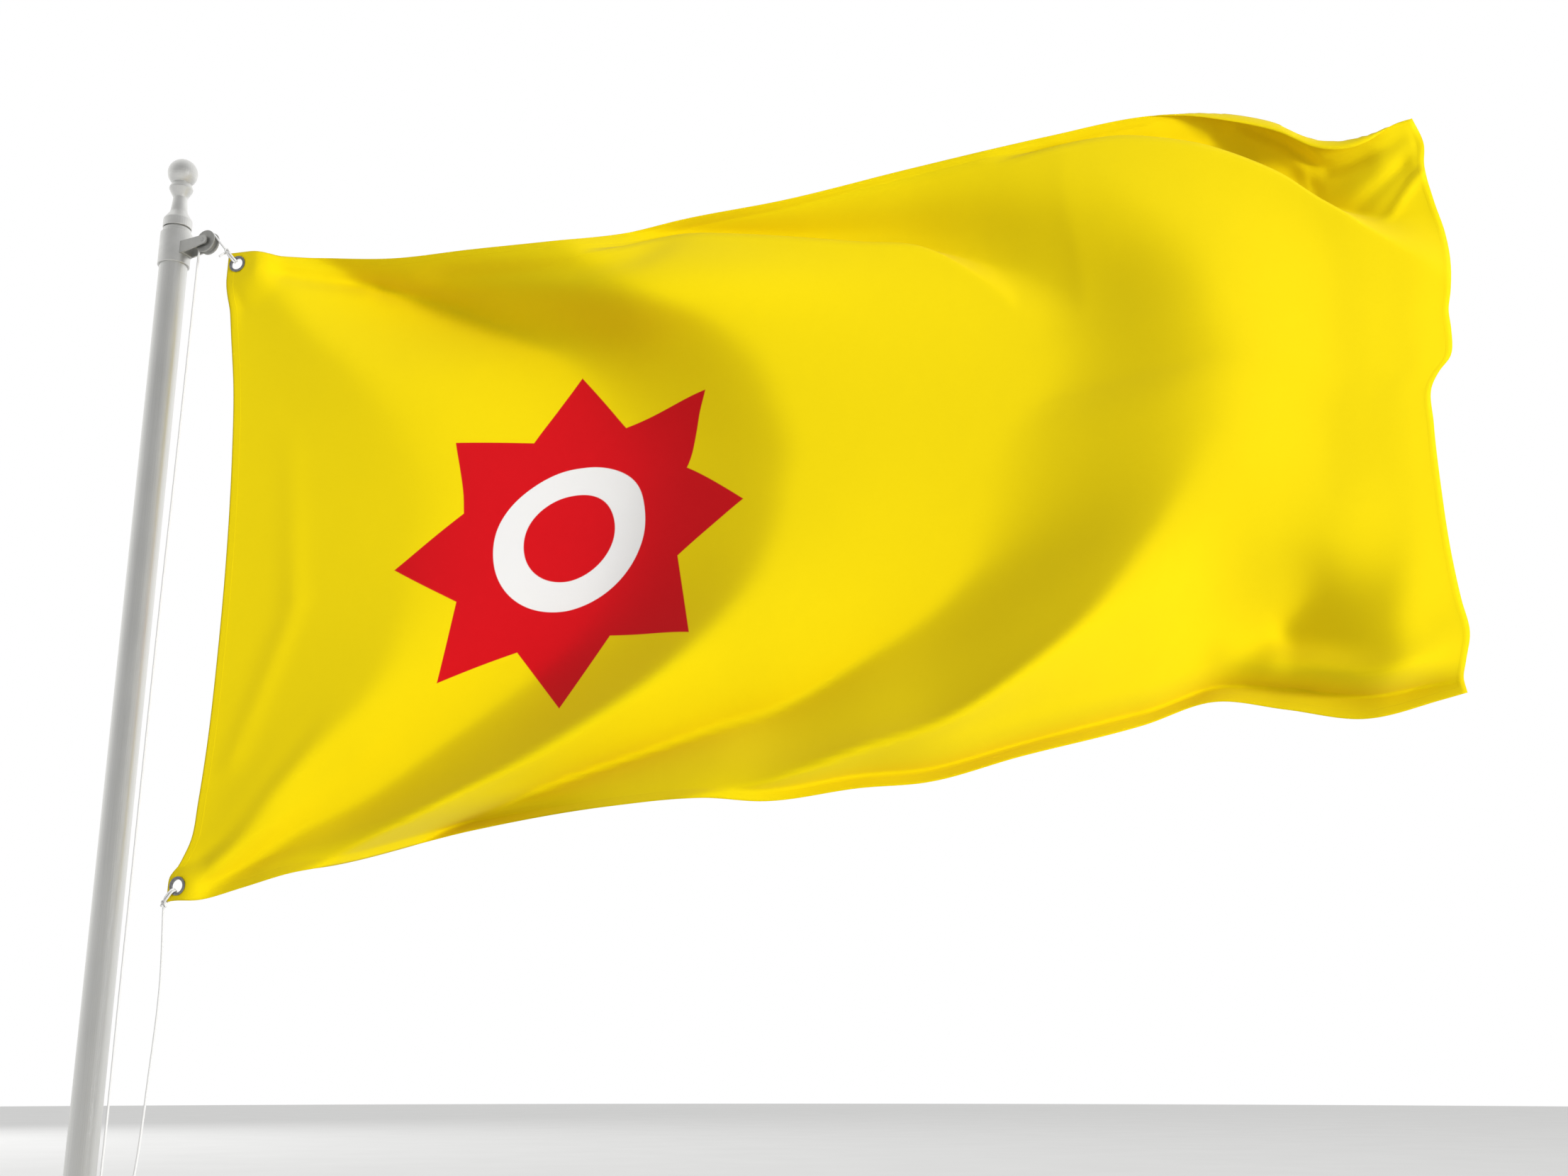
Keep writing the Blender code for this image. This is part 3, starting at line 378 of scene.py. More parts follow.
def halyard_route():
    """The rope from the upper knot over the sheave, down to the cleat and up to the lower knot."""
    knots = knot_places()
    upper, lower = knots["upper"][0], knots["lower"][0]
    over = sheave_turn(upper)
    leave = (over[0] - upper).normalized()
    down = [arm_point(*place) for place in RUN_DOWN]
    rise = [arm_point(out, RISE_ASIDE, height) for out, height in RUN_UP]
    arrive = (rise[-1] - lower).normalized()
    route = [upper + leave * (KNOT_RADIUS + GAP)] + over + down + cleat_turns() + rise
    route.append(lower + arrive * (KNOT_RADIUS + GAP))
    return route


def linear(colour):
    """An sRGB hex colour as the linear values that a shader takes."""
    parts = [int(colour[i:i + 2], 16) / 255 for i in (1, 3, 5)]
    return [p / 12.92 if p <= 0.04045 else ((p + 0.055) / 1.055) ** 2.4 for p in parts] + [1.0]


def add_node(tree, kind, inputs=None, **settings):
    """Adds a node to a tree. Inputs are by name or number. Each is a value, another node's
    output, or another node, of which the first output is taken."""
    made = tree.nodes.new(kind)
    for name, value in settings.items():
        setattr(made, name, value)
    for name, value in (inputs or {}).items():
        if isinstance(value, bpy.types.Node):
            value = value.outputs[0]
        if isinstance(value, bpy.types.NodeSocket):
            tree.links.new(value, made.inputs[name])
        else:
            made.inputs[name].default_value = value
    return made


def start_material(name, **shader_values):
    """A material with its Principled shader's own values, and that shader and its tree."""
    made = bpy.data.materials.new(name)
    made.use_nodes = True
    tree = made.node_tree
    shader = tree.nodes["Principled BSDF"]
    for socket, value in shader_values.items():
        shader.inputs[socket.replace("_", " ")].default_value = value
    return made, tree, shader


def flag_material():
    """Warp-knitted polyester, dye-printed: a soft matt face with a fine even grain, and a
    little sheen where the light grazes it. The print soaks through, so its colours have
    crisp edges and the same grain as the ground."""
    made, tree, shader = start_material(
        "printed_knitted_polyester", Roughness=0.78, Sheen_Weight=0.04, Sheen_Roughness=0.5,
        Specular_IOR_Level=0.12)
    yellow, red, white = linear("#E5CC02"), linear("#C60C16"), linear("#DFDFDF")
    flat = add_node(tree, "ShaderNodeUVMap", uv_map="flat").outputs[0]
    parts = add_node(tree, "ShaderNodeSeparateXYZ", {0: flat})
    fly, hoist = parts.outputs[0], parts.outputs[1]

    # The emblem: an eight-pointed star with a ring and a disc in its middle. Each half of a
    # point is the same, so the angle is folded into one half.
    star_x, star_y = 0.680, 0.560
    star_point, star_notch, ring_outer, ring_inner = 0.345, 0.235, 0.150, 0.090
    half_point = math.pi / 8
    across = add_node(tree, MATHS, {0: fly, 1: star_x}, operation="SUBTRACT")
    above = add_node(tree, MATHS, {0: hoist, 1: star_y}, operation="SUBTRACT")
    across_squared = add_node(tree, MATHS, {0: across, 1: across}, operation="MULTIPLY")
    both_squared = add_node(tree, MATHS, {0: above, 1: above, 2: across_squared}, operation="MULTIPLY_ADD")
    reach = add_node(tree, MATHS, {0: both_squared}, operation="SQRT")
    around = add_node(tree, MATHS, {0: above, 1: across}, operation="ARCTAN2")
    turned_on = add_node(tree, MATHS, {0: around, 1: 8 * math.pi}, operation="ADD")
    angle = add_node(tree, MATHS, {0: turned_on, 1: half_point}, operation="PINGPONG")
    notch_x, notch_y = star_notch * math.cos(half_point), star_notch * math.sin(half_point)
    side_faces = math.atan2(star_point - notch_x, notch_y)
    off_side = add_node(tree, MATHS, {0: angle, 1: side_faces}, operation="SUBTRACT")
    towards_side = add_node(tree, MATHS, {0: off_side}, operation="COSINE")
    side_reach = add_node(tree, MATHS, {0: reach, 1: towards_side}, operation="MULTIPLY")
    edge = 0.0008

    def inside(distance, limit):
        """1 where the distance is below its limit, with a print's soft edge."""
        return add_node(tree, "ShaderNodeMapRange", {
            "Value": distance, "From Min": limit - edge, "From Max": limit + edge,
            "To Min": 1.0, "To Max": 0.0})

    in_star = inside(side_reach, star_point * math.cos(side_faces))
    in_ring = add_node(tree, MATHS, {0: inside(reach, ring_outer), 1: inside(reach, ring_inner)},
                       operation="SUBTRACT")
    ground = add_node(tree, "ShaderNodeMix", {"Factor": in_star, "A": yellow, "B": red}, data_type="RGBA")
    print_colour = add_node(tree, "ShaderNodeMix", {"Factor": in_ring, "A": ground.outputs[2], "B": white},
                            data_type="RGBA")

    # Dye takes up a little unevenly, in patches of about 0.3 m.
    patches = add_node(tree, "ShaderNodeTexNoise", {"Vector": flat, "Scale": 3.2, "Detail": 3.0})
    tone = add_node(tree, "ShaderNodeMapRange", {"Value": patches, "To Min": 0.965, "To Max": 1.02})
    shade = add_node(tree, "ShaderNodeMix", {"Factor": 1.0, "A": print_colour.outputs[2], "B": tone},
                     data_type="RGBA", blend_type="MULTIPLY")

    # The knit's stitches lie 0.7 mm apart. They are drawn at 1.6 mm, as finer ones don't show.
    stitch_wide, stitch_high = 0.0016, 0.0016 * 1.3
    waves = []
    for run, pitch in ((fly, stitch_wide), (hoist, stitch_high)):
        turns = add_node(tree, MATHS, {0: run, 1: 2 * math.pi / pitch}, operation="MULTIPLY")
        waves.append(add_node(tree, MATHS, {0: turns}, operation="SINE"))
    knit = add_node(tree, MATHS, {0: waves[0], 1: waves[1]}, operation="MULTIPLY")

    # Hems turned under and sewn with two rows of stitches, 3 mm long on every 4 mm.
    nearest = []
    for run, whole in ((fly, FLY), (hoist, HOIST)):
        left_over = add_node(tree, MATHS, {0: whole, 1: run}, operation="SUBTRACT")
        nearest.append(add_node(tree, MATHS, {0: run, 1: left_over}, operation="MINIMUM"))
    from_edge = add_node(tree, MATHS, {0: nearest[0], 1: nearest[1]}, operation="MINIMUM")
    hem_share = add_node(tree, MATHS, {0: from_edge, 1: HEM_WIDTH}, operation="DIVIDE")
    off_hem = add_node(tree, MATHS, {0: hem_share, 1: 1.0, 2: 0.1}, operation="SMOOTH_MIN")
    hem = add_node(tree, MATHS, {0: 1.0, 1: off_hem}, operation="SUBTRACT")
    edge_width, stitch_pitch, stitch_share, thread_radius = 0.0008, 0.004, 0.75, 0.0007
    hem_step = add_node(tree, "ShaderNodeMapRange", {
        "Value": from_edge, "From Min": HEM_WIDTH - edge_width, "From Max": HEM_WIDTH + edge_width,
        "To Min": 1.0, "To Max": 0.0})
    seam_run = add_node(tree, MATHS, {0: fly, 1: hoist}, operation="ADD")
    stitches = add_node(tree, MATHS, {0: seam_run, 1: stitch_pitch}, operation="DIVIDE")
    sewn = add_node(tree, MATHS, {0: stitches}, operation="FRACT")
    on_thread = add_node(tree, MATHS, {0: sewn, 1: stitch_share}, operation="LESS_THAN")
    rows = []
    for place in (0.0035, 0.0112):
        aside = add_node(tree, MATHS, {0: from_edge, 1: place}, operation="SUBTRACT")
        off = add_node(tree, MATHS, {0: aside}, operation="ABSOLUTE")
        rows.append(add_node(tree, "ShaderNodeMapRange", {
            "Value": off, "From Max": thread_radius, "To Min": 1.0, "To Max": 0.0}))
    row = add_node(tree, MATHS, {0: rows[0], 1: rows[1]}, operation="MAXIMUM")
    thread = add_node(tree, MATHS, {0: row, 1: on_thread}, operation="MULTIPLY")
    knit_height, hem_height, thread_depth, hem_swell = 0.00007, 0.00035, -0.00018, 0.00002
    height = add_node(tree, MATHS, {0: hem, 1: hem_swell}, operation="MULTIPLY")
    for layer, tall in ((thread, thread_depth), (hem_step, hem_height), (knit, knit_height)):
        height = add_node(tree, MATHS, {0: layer, 1: tall, 2: height}, operation="MULTIPLY_ADD")
    relief = add_node(tree, "ShaderNodeBump", {"Strength": 0.75, "Distance": 1.0, "Height": height})
    grain = add_node(tree, "ShaderNodeMapRange",
                     {"Value": knit, "From Min": -1.0, "To Min": 0.94, "To Max": 1.03})
    knitted = add_node(tree, "ShaderNodeMix", {"Factor": 1.0, "A": shade.outputs[2], "B": grain},
                       data_type="RGBA", blend_type="MULTIPLY")
    tree.links.new(knitted.outputs[2], shader.inputs["Base Color"])
    tree.links.new(relief.outputs[0], shader.inputs["Normal"])
    return made


def pole_material():
    """Extruded aluminium, brushed and clear anodised: a satin grey that spreads its
    reflections sideways, with fine lines that run up the pole."""
    made, tree, shader = start_material("anodised_aluminium", Metallic=1.0, Roughness=0.44)
    place = add_node(tree, "ShaderNodeTexCoord").outputs["Object"]
    # The lines are 0.05 mm wide. They are drawn at about 0.7 mm.
    stretched = add_node(tree, "ShaderNodeMapping", {"Vector": place, "Scale": (1400.0, 1400.0, 5.0)})
    lines = add_node(tree, "ShaderNodeTexNoise",
                     {"Vector": stretched.outputs[0], "Scale": 1.0, "Detail": 2.0})
    haze = add_node(tree, "ShaderNodeTexNoise", {"Vector": place, "Scale": 9.0, "Detail": 4.0})
    mixed = add_node(tree, "ShaderNodeMix", {"Factor": 0.35, "A": lines.outputs[0], "B": haze.outputs[0]})
    tone = add_node(tree, "ShaderNodeValToRGB", {"Fac": mixed.outputs[0]})
    tone.color_ramp.elements[0].position = 0.30
    tone.color_ramp.elements[0].color = linear("#D8D8D6")
    tone.color_ramp.elements[1].position = 0.70
    tone.color_ramp.elements[1].color = linear("#E6E6E4")
    rough = add_node(tree, "ShaderNodeMapRange", {"Value": haze.outputs[0], "To Min": 0.40, "To Max": 0.48})
    relief = add_node(tree, "ShaderNodeBump",
                      {"Strength": 0.10, "Distance": 0.0004, "Height": lines.outputs[0]})
    tree.links.new(tone.outputs[0], shader.inputs["Base Color"])
    tree.links.new(rough.outputs[0], shader.inputs["Roughness"])
    tree.links.new(relief.outputs[0], shader.inputs["Normal"])
    return made


def turned_material():
    """Aluminium turned on a lathe and clear anodised: like the pole, with its lines
    running round."""
    made, tree, shader = start_material("turned_aluminium", Metallic=1.0, Roughness=0.43)
    place = add_node(tree, "ShaderNodeTexCoord").outputs["Object"]
    # The tool's rings are 0.1 mm apart. They are drawn at about 0.8 mm.
    flattened = add_node(tree, "ShaderNodeMapping", {"Vector": place, "Scale": (4.0, 4.0, 1250.0)})
    rings = add_node(tree, "ShaderNodeTexNoise",
                     {"Vector": flattened.outputs[0], "Scale": 1.0, "Detail": 2.0})
    haze = add_node(tree, "ShaderNodeTexNoise", {"Vector": place, "Scale": 26.0, "Detail": 4.0})
    tone = add_node(tree, "ShaderNodeValToRGB", {"Fac": haze.outputs[0]})
    tone.color_ramp.elements[0].position = 0.30
    tone.color_ramp.elements[0].color = linear("#D8D8D6")
    tone.color_ramp.elements[1].position = 0.70
    tone.color_ramp.elements[1].color = linear("#E8E8E6")
    rough = add_node(tree, "ShaderNodeMapRange",
                     {"Value": rings.outputs[0], "To Min": 0.38, "To Max": 0.48})
    relief = add_node(tree, "ShaderNodeBump",
                      {"Strength": 0.12, "Distance": 0.0004, "Height": rings.outputs[0]})
    tree.links.new(tone.outputs[0], shader.inputs["Base Color"])
    tree.links.new(rough.outputs[0], shader.inputs["Roughness"])
    tree.links.new(relief.outputs[0], shader.inputs["Normal"])
    return made


def cast_material():
    """Cast aluminium, tumbled and left grey: a dull face with a fine sandy grain and
    brighter worn edges."""
    made, tree, shader = start_material("cast_aluminium", Metallic=1.0, Roughness=0.5)
    place = add_node(tree, "ShaderNodeTexCoord").outputs["Object"]
    # The sand's grain is 0.3 mm. It is drawn at about 0.6 mm.
    grain = add_node(tree, "ShaderNodeTexNoise", {"Vector": place, "Scale": 1700.0, "Detail": 3.0})
    stain = add_node(tree, "ShaderNodeTexNoise", {"Vector": place, "Scale": 90.0, "Detail": 4.0})
    edge_wear = add_node(tree, "ShaderNodeNewGeometry").outputs["Pointiness"]
    worn = add_node(tree, "ShaderNodeMapRange", {"Value": edge_wear, "From Min": 0.53, "From Max": 0.62})
    tone = add_node(tree, "ShaderNodeValToRGB", {"Fac": stain.outputs[0]})
    tone.color_ramp.elements[0].position = 0.30
    tone.color_ramp.elements[0].color = linear("#A4A4A1")
    tone.color_ramp.elements[1].position = 0.70
    tone.color_ramp.elements[1].color = linear("#B4B4B1")
    bright = add_node(tree, "ShaderNodeMix",
                      {"Factor": worn.outputs[0], "A": tone.outputs[0], "B": linear("#D0D0CD")},
                      data_type="RGBA")
    rough = add_node(tree, "ShaderNodeMapRange",
                     {"Value": grain.outputs[0], "To Min": 0.42, "To Max": 0.60})
    relief = add_node(tree, "ShaderNodeBump",
                      {"Strength": 0.35, "Distance": 0.0003, "Height": grain.outputs[0]})
    tree.links.new(bright.outputs[2], shader.inputs["Base Color"])
    tree.links.new(rough.outputs[0], shader.inputs["Roughness"])
    tree.links.new(relief.outputs[0], shader.inputs["Normal"])
    return made


def eyelet_material():
    """Pressed brass with dull nickel plate: a smooth darkish grey with soft highlights and
    a few rubbed places."""
    made, tree, shader = start_material("nickelled_brass", Metallic=1.0, Roughness=0.32)
    place = add_node(tree, "ShaderNodeTexCoord").outputs["Object"]
    rub = add_node(tree, "ShaderNodeTexNoise", {"Vector": place, "Scale": 240.0, "Detail": 4.0})
    tone = add_node(tree, "ShaderNodeValToRGB", {"Fac": rub.outputs[0]})
    tone.color_ramp.elements[0].position = 0.35
    tone.color_ramp.elements[0].color = linear("#7E7F84")
    tone.color_ramp.elements[1].position = 0.70
    tone.color_ramp.elements[1].color = linear("#A2A2A4")
    rough = add_node(tree, "ShaderNodeMapRange", {"Value": rub.outputs[0], "To Min": 0.22, "To Max": 0.42})
    tree.links.new(tone.outputs[0], shader.inputs["Base Color"])
    tree.links.new(rough.outputs[0], shader.inputs["Roughness"])
    return made


def screw_material():
    """Stainless steel, turned: bright, with faint rings from the lathe."""
    made, tree, shader = start_material("stainless_steel", Metallic=1.0, Roughness=0.26)
    place = add_node(tree, "ShaderNodeTexCoord").outputs["Object"]
    scratch = add_node(tree, "ShaderNodeTexNoise", {"Vector": place, "Scale": 900.0, "Detail": 3.0})
    tone = add_node(tree, "ShaderNodeValToRGB", {"Fac": scratch.outputs[0]})
    tone.color_ramp.elements[0].color = linear("#A9A9A8")
    tone.color_ramp.elements[1].color = linear("#CFCFCE")
    rough = add_node(tree, "ShaderNodeMapRange",
                     {"Value": scratch.outputs[0], "To Min": 0.20, "To Max": 0.36})
    tree.links.new(tone.outputs[0], shader.inputs["Base Color"])
    tree.links.new(rough.outputs[0], shader.inputs["Roughness"])
    return made


def rope_material():
    """Braided polyester, 16 plaited yarns: white and matt, with the yarns crossing as small slanted bumps,
    and painted shade greying the valleys between them."""
    made, tree, shader = start_material(
        "braided_polyester", Roughness=0.80, Sheen_Weight=0.20, Sheen_Roughness=0.5, Specular_IOR_Level=0.3)
    flat = add_node(tree, "ShaderNodeUVMap", uv_map="flat")
    parts = add_node(tree, "ShaderNodeSeparateXYZ", {0: flat})
    # Eight yarns each way go once round in 14 mm, as on a real 4 mm rope.
    yarns, lay_length = 8, 0.014
    turn = add_node(tree, MATHS, {0: parts.outputs[0], 1: yarns * math.pi}, operation="MULTIPLY")
    rise = add_node(tree, MATHS, {0: parts.outputs[1], 1: yarns * math.pi / lay_length},
                    operation="MULTIPLY")
    slants = []
    for way in ("ADD", "SUBTRACT"):
        slant = add_node(tree, MATHS, {0: turn, 1: rise}, operation=way)
        wave = add_node(tree, MATHS, {0: slant}, operation="SINE")
        slants.append(add_node(tree, MATHS, {0: wave}, operation="ABSOLUTE"))
    braid = add_node(tree, MATHS, {0: slants[0], 1: slants[1]}, operation="MULTIPLY")
    # Painted shade: the colour goes grey in the braid's valleys, where the yarns dip, and stays white on
    # their crowns.
    tone = add_node(tree, "ShaderNodeValToRGB", {"Fac": braid})
    tone.color_ramp.elements[0].position = 0.02
    tone.color_ramp.elements[0].color = linear("#D2D2D0")
    tone.color_ramp.elements[1].position = 0.45
    tone.color_ramp.elements[1].color = linear("#F8F8F7")
    relief = add_node(tree, "ShaderNodeBump", {"Strength": 0.9, "Distance": 0.0004, "Height": braid})
    tree.links.new(tone.outputs[0], shader.inputs["Base Color"])
    tree.links.new(relief.outputs[0], shader.inputs["Normal"])
    return made


def floor_material():
    """Painted board, pale and plain."""
    made, tree, shader = start_material("pale_floor", Roughness=0.9)
    place = add_node(tree, "ShaderNodeTexCoord").outputs["Object"]
    patches = add_node(tree, "ShaderNodeTexNoise", {"Vector": place, "Scale": 1.5, "Detail": 2.0})
    tone = add_node(tree, "ShaderNodeValToRGB", {"Fac": patches.outputs[0]})
    tone.color_ramp.elements[0].color = linear("#E6E6E5")
    tone.color_ramp.elements[1].color = linear("#EDEDEC")
    tree.links.new(tone.outputs[0], shader.inputs["Base Color"])
    return made


def smooth_table(places, values, at):
    """Values between a table's rows, on a smooth curve through them."""
    places, values, at = np.asarray(places, float), np.asarray(values, float), np.asarray(at, float)
    steps = np.diff(places)
    widths = steps.reshape(-1, *([1] * (values.ndim - 1)))
    slopes = np.diff(values, axis=0) / widths
    inner = (slopes[:-1] * widths[1:] + slopes[1:] * widths[:-1]) / (widths[1:] + widths[:-1])
    tangents = np.concatenate([slopes[:1], inner, slopes[-1:]])
    row = np.clip(np.searchsorted(places, at, side="right") - 1, 0, len(steps) - 1)
    share = (at - places[row]) / steps[row]
    if values.ndim > 1:
        share = share[..., None]
    width = widths[row]
    return (
        values[row] * (2 * share**3 - 3 * share**2 + 1)
        + tangents[row] * width * (share**3 - 2 * share**2 + share)
        + values[row + 1] * (3 * share**2 - 2 * share**3)
        + tangents[row + 1] * width * (share**3 - share**2)
    )


def along(edge, share):
    """Points at shares of an edge's length."""
    edge = np.asarray(edge, float)
    run = np.concatenate([[0], np.cumsum(np.hypot(*np.diff(edge, axis=0).T))])
    return smooth_table(run / run[-1], edge, share)


def soft_step(value):
    """From 0 to 1, level at both ends."""
    value = np.clip(value, 0, 1)
    return value * value * (3 - 2 * value)


def fold_depth(s, t):
    """Depth of the folds: a wave from each fold line to the next, straighter the sharper
    the ridges are."""
    places = smooth_table(HEIGHTS, np.array([row[1] for row in FOLDS]).T, t)
    depths = smooth_table(HEIGHTS, np.array([row[2] for row in FOLDS]).T, t) / 1000
    sharpness = smooth_table(HEIGHTS, np.array([row[3] for row in FOLDS]).T, t)
    sharp = SHARPEST_SLOPE * np.clip(sharpness, 0, 1)
    rows = np.arange(len(s))
    total = np.zeros_like(s)
    for offset, weight in RIDGE_WEIGHTS:
        at = np.clip(s + offset * RIDGE_ROUNDING, 0, 1)
        line = np.clip((at[:, None] >= places).sum(axis=1) - 1, 0, len(FOLDS) - 2)
        start, end = places[rows, line], places[rows, line + 1]
        share = np.clip((at - start) / np.maximum(end - start, 1e-6), 0, 1)
        wave = (3 * share**2 - 2 * share**3 + sharp[rows, line] * (share**3 - 2 * share**2 + share)
                + sharp[rows, line + 1] * (share**3 - share**2))
        total += weight * (depths[rows, line] * (1 - wave) + depths[rows, line + 1] * wave)
    return total


def shelf_edges(rows, s):
    """A shelf's lower and upper edge on the cloth, its height as seen, its step back, and
    how far it is hidden."""
    table = np.array(rows)
    height, step, width, hidden = smooth_table(table[:, 0], table[:, 1:], s).T
    inside = (s > table[0, 0]) & (s < table[-1, 0] + (table[-1, 0] == 1))
    step = np.where(inside, np.clip(step, 0, None), 0) / 1000
    low = height * (1 - width)
    return low, low + width, height, step, np.clip(hidden, 0, 1)


def seen_share(s, t):
    """Height as seen, as a share of the hoist, and the step back: a hidden shelf takes up
    cloth without showing."""
    seen, back = t.copy(), np.zeros_like(t)
    for _, rows in SHELVES:
        low, high, height, step, hidden = shelf_edges(rows, s)
        low_seen = low + hidden * (height - low)
        high_seen = high + hidden * (height - SHELF_DIP - high)
        share = np.clip((t - low) / (high - low), 0, 1)
        lean = SHELF_LEAN * np.clip((t - high) / (1 - high), 0, 1)
        below = t * low_seen / low
        on = low_seen + (high_seen - low_seen) * share
        above = high_seen + (1 - high_seen) * (t - high) / (1 - high)
        here = np.where(t < low, below, np.where(t < high, on, above))
        seen = np.where(step > 0, here, seen)
        back += step * (hidden * share + (1 - hidden) * soft_step(share)) * (1 - lean)
    return seen, back


def bottom_hem_depth(s, t):
    """The bottom edge turns in, and its hem lips out again."""
    table = np.array(BOTTOM_HEM)
    height, turn_in, lip_out = smooth_table(table[:, 0], table[:, 1:], s).T / 1000
    turn_in, lip_out = np.clip(turn_in, 0, None), np.clip(lip_out, 0, None)
    crease = height / HOIST
    above = turn_in * (1 - np.clip((t - crease) / BOTTOM_REACH, 0, 1)) ** 2
    below = turn_in - lip_out * np.clip(1 - t / crease, 0, 1)
    return np.where(t > crease, above, below)


def top_roll(s, t, seen):
    """The top hem rolled over towards the viewer: its height as seen, and its depth."""
    table = np.array(TOP_ROLL)
    rolled, forward = np.clip(smooth_table(table[:, 0], table[:, 1:], s).T / 1000, 0, None)
    width = rolled / HOIST
    turn = 1 - width
    share = np.clip((t - turn) / np.maximum(width, 1e-6), 0, 1)
    rise = seen + width * soft_step((t - ROLL_DRAWS_FROM) / ROLL_DRAWS_OVER)
    folded = 1 - ROLL_COMES_DOWN * (t - turn)
    height = np.where(t > turn, folded, np.minimum(rise, 1))
    depth = -forward * np.sin(share * math.pi * ROLL_TURN) ** ROLL_FULLNESS
    return np.where(width > 0, height, seen), np.where(width > 0, depth, 0)


def crease_depth(s, t):
    """Depth of the small creases."""
    depth = np.zeros_like(s)
    x, z = s * FLY, t * HOIST
    for _, start, end, half_width, first, last in CREASES:
        ax, az = start[0] * FLY, start[1] * HOIST
        bx, bz = end[0] * FLY, end[1] * HOIST
        length = math.hypot(bx - ax, bz - az)
        way_x, way_z = (bx - ax) / length, (bz - az) / length
        on = ((x - ax) * way_x + (z - az) * way_z) / length
        off = ((x - ax) * way_z - (z - az) * way_x) * 1000 / half_width
        shown = soft_step((on - CREASE_STARTS) / CREASE_GROWS_OVER)
        shown *= soft_step((CREASE_ENDS - on) / CREASE_FADES_OVER)
        tall = (first + (last - first) * np.clip(on, 0, 1)) / 1000
        depth -= tall * shown * np.exp(-off * off)
    return depth


def flag_points(s, t):
    """The middle of the cloth at shares s of the fly and t of the hoist."""
    s, t = np.asarray(s, float), np.asarray(t, float)
    seen, back = seen_share(s, t)
    seen, roll = top_roll(s, t, seen)
    bottom, top = along(BOTTOM_EDGE, s), along(TOP_EDGE, s)
    hoist, fly = along(HOIST_EDGE, seen), along(FLY_EDGE, seen)
    across, up = s[:, None], seen[:, None]
    corners = [np.array(edge[end]) for edge in (BOTTOM_EDGE, TOP_EDGE) for end in (0, -1)]
    drawn = (
        (1 - up) * bottom + up * top + (1 - across) * hoist + across * fly
        - (1 - across) * (1 - up) * corners[0] - across * (1 - up) * corners[1]
        - (1 - across) * up * corners[2] - across * up * corners[3]
    )
    depth = fold_depth(s, seen) + back + bottom_hem_depth(s, t) + roll + crease_depth(s, t)
    reach = (depth - EYE.y) / -EYE.y
    points = np.stack([
        EYE.x + (drawn[:, 0] - EYE.x) * reach,
        depth,
        EYE.z + (drawn[:, 1] - EYE.z) * reach,
    ], axis=1)
    for name, (middle, fly_way, up_way, _) in corner_axes().items():
        from_hoist = s * FLY - EYELET_FROM_HOIST
        from_edge = t * HOIST - EYELET_FROM_EDGE if name == "lower" else EYELET_FROM_EDGE - (1 - t) * HOIST
        flat_reach, fade = HELD_FLAT[name]
        along_fly = from_hoist[:, None] * np.array(fly_way)
        flat = np.array(middle) + along_fly + from_edge[:, None] * np.array(up_way)
        hold = 1 - soft_step((np.hypot(from_hoist, from_edge) - flat_reach) / fade)
        points += (flat - points) * hold[:, None]
    return points


def rounded_points(s, t):
    """The cloth's points with each fold line rounded over a few millimetres."""
    part = np.clip(ROUNDED_AT_BOTTOM + t / ROUNDED_MORE_OVER, 0, 1)
    reach = np.minimum(ROUNDING * part, np.minimum(t, 1 - t))
    side = np.minimum(ROUNDING / 2, np.minimum(s, 1 - s))
    total = 2 * flag_points(s, t)
    total += flag_points(s, t - reach) + flag_points(s, t + reach)
    total += flag_points(s - side, t) + flag_points(s + side, t)
    return total / 6


def fine_rows(columns):
    """Heights of the fine mesh's rows at each column. Rows follow both edges of each shelf."""
    bottom = FINE_BOTTOM / HOIST
    off = np.array(ROWS_OFF_SHELVES)
    edges = []
    for number, (_, rows) in enumerate(SHELVES):
        low, high, _, step, _ = shelf_edges(rows, columns)
        away_low, away_high = (np.interp(columns, off[:, 0], off[:, 2 * number + side]) for side in (1, 2))
        edges.append((np.where(step > 0, low, away_low), np.where(step > 0, high, away_high)))
    (first_low, first_high), (second_low, second_high) = edges
    levels = [np.full_like(columns, bottom * i / FINE_BOTTOM_ROWS) for i in range(FINE_BOTTOM_ROWS + 1)]
    stops = [levels[-1], first_low, first_high, second_low, second_high, np.ones_like(columns)]
    for low, high, cells in zip(stops, stops[1:], FINE_ROW_CELLS):
        levels += [low + (high - low) * (i + 1) / cells for i in range(cells)]
    return np.stack(levels, axis=1)


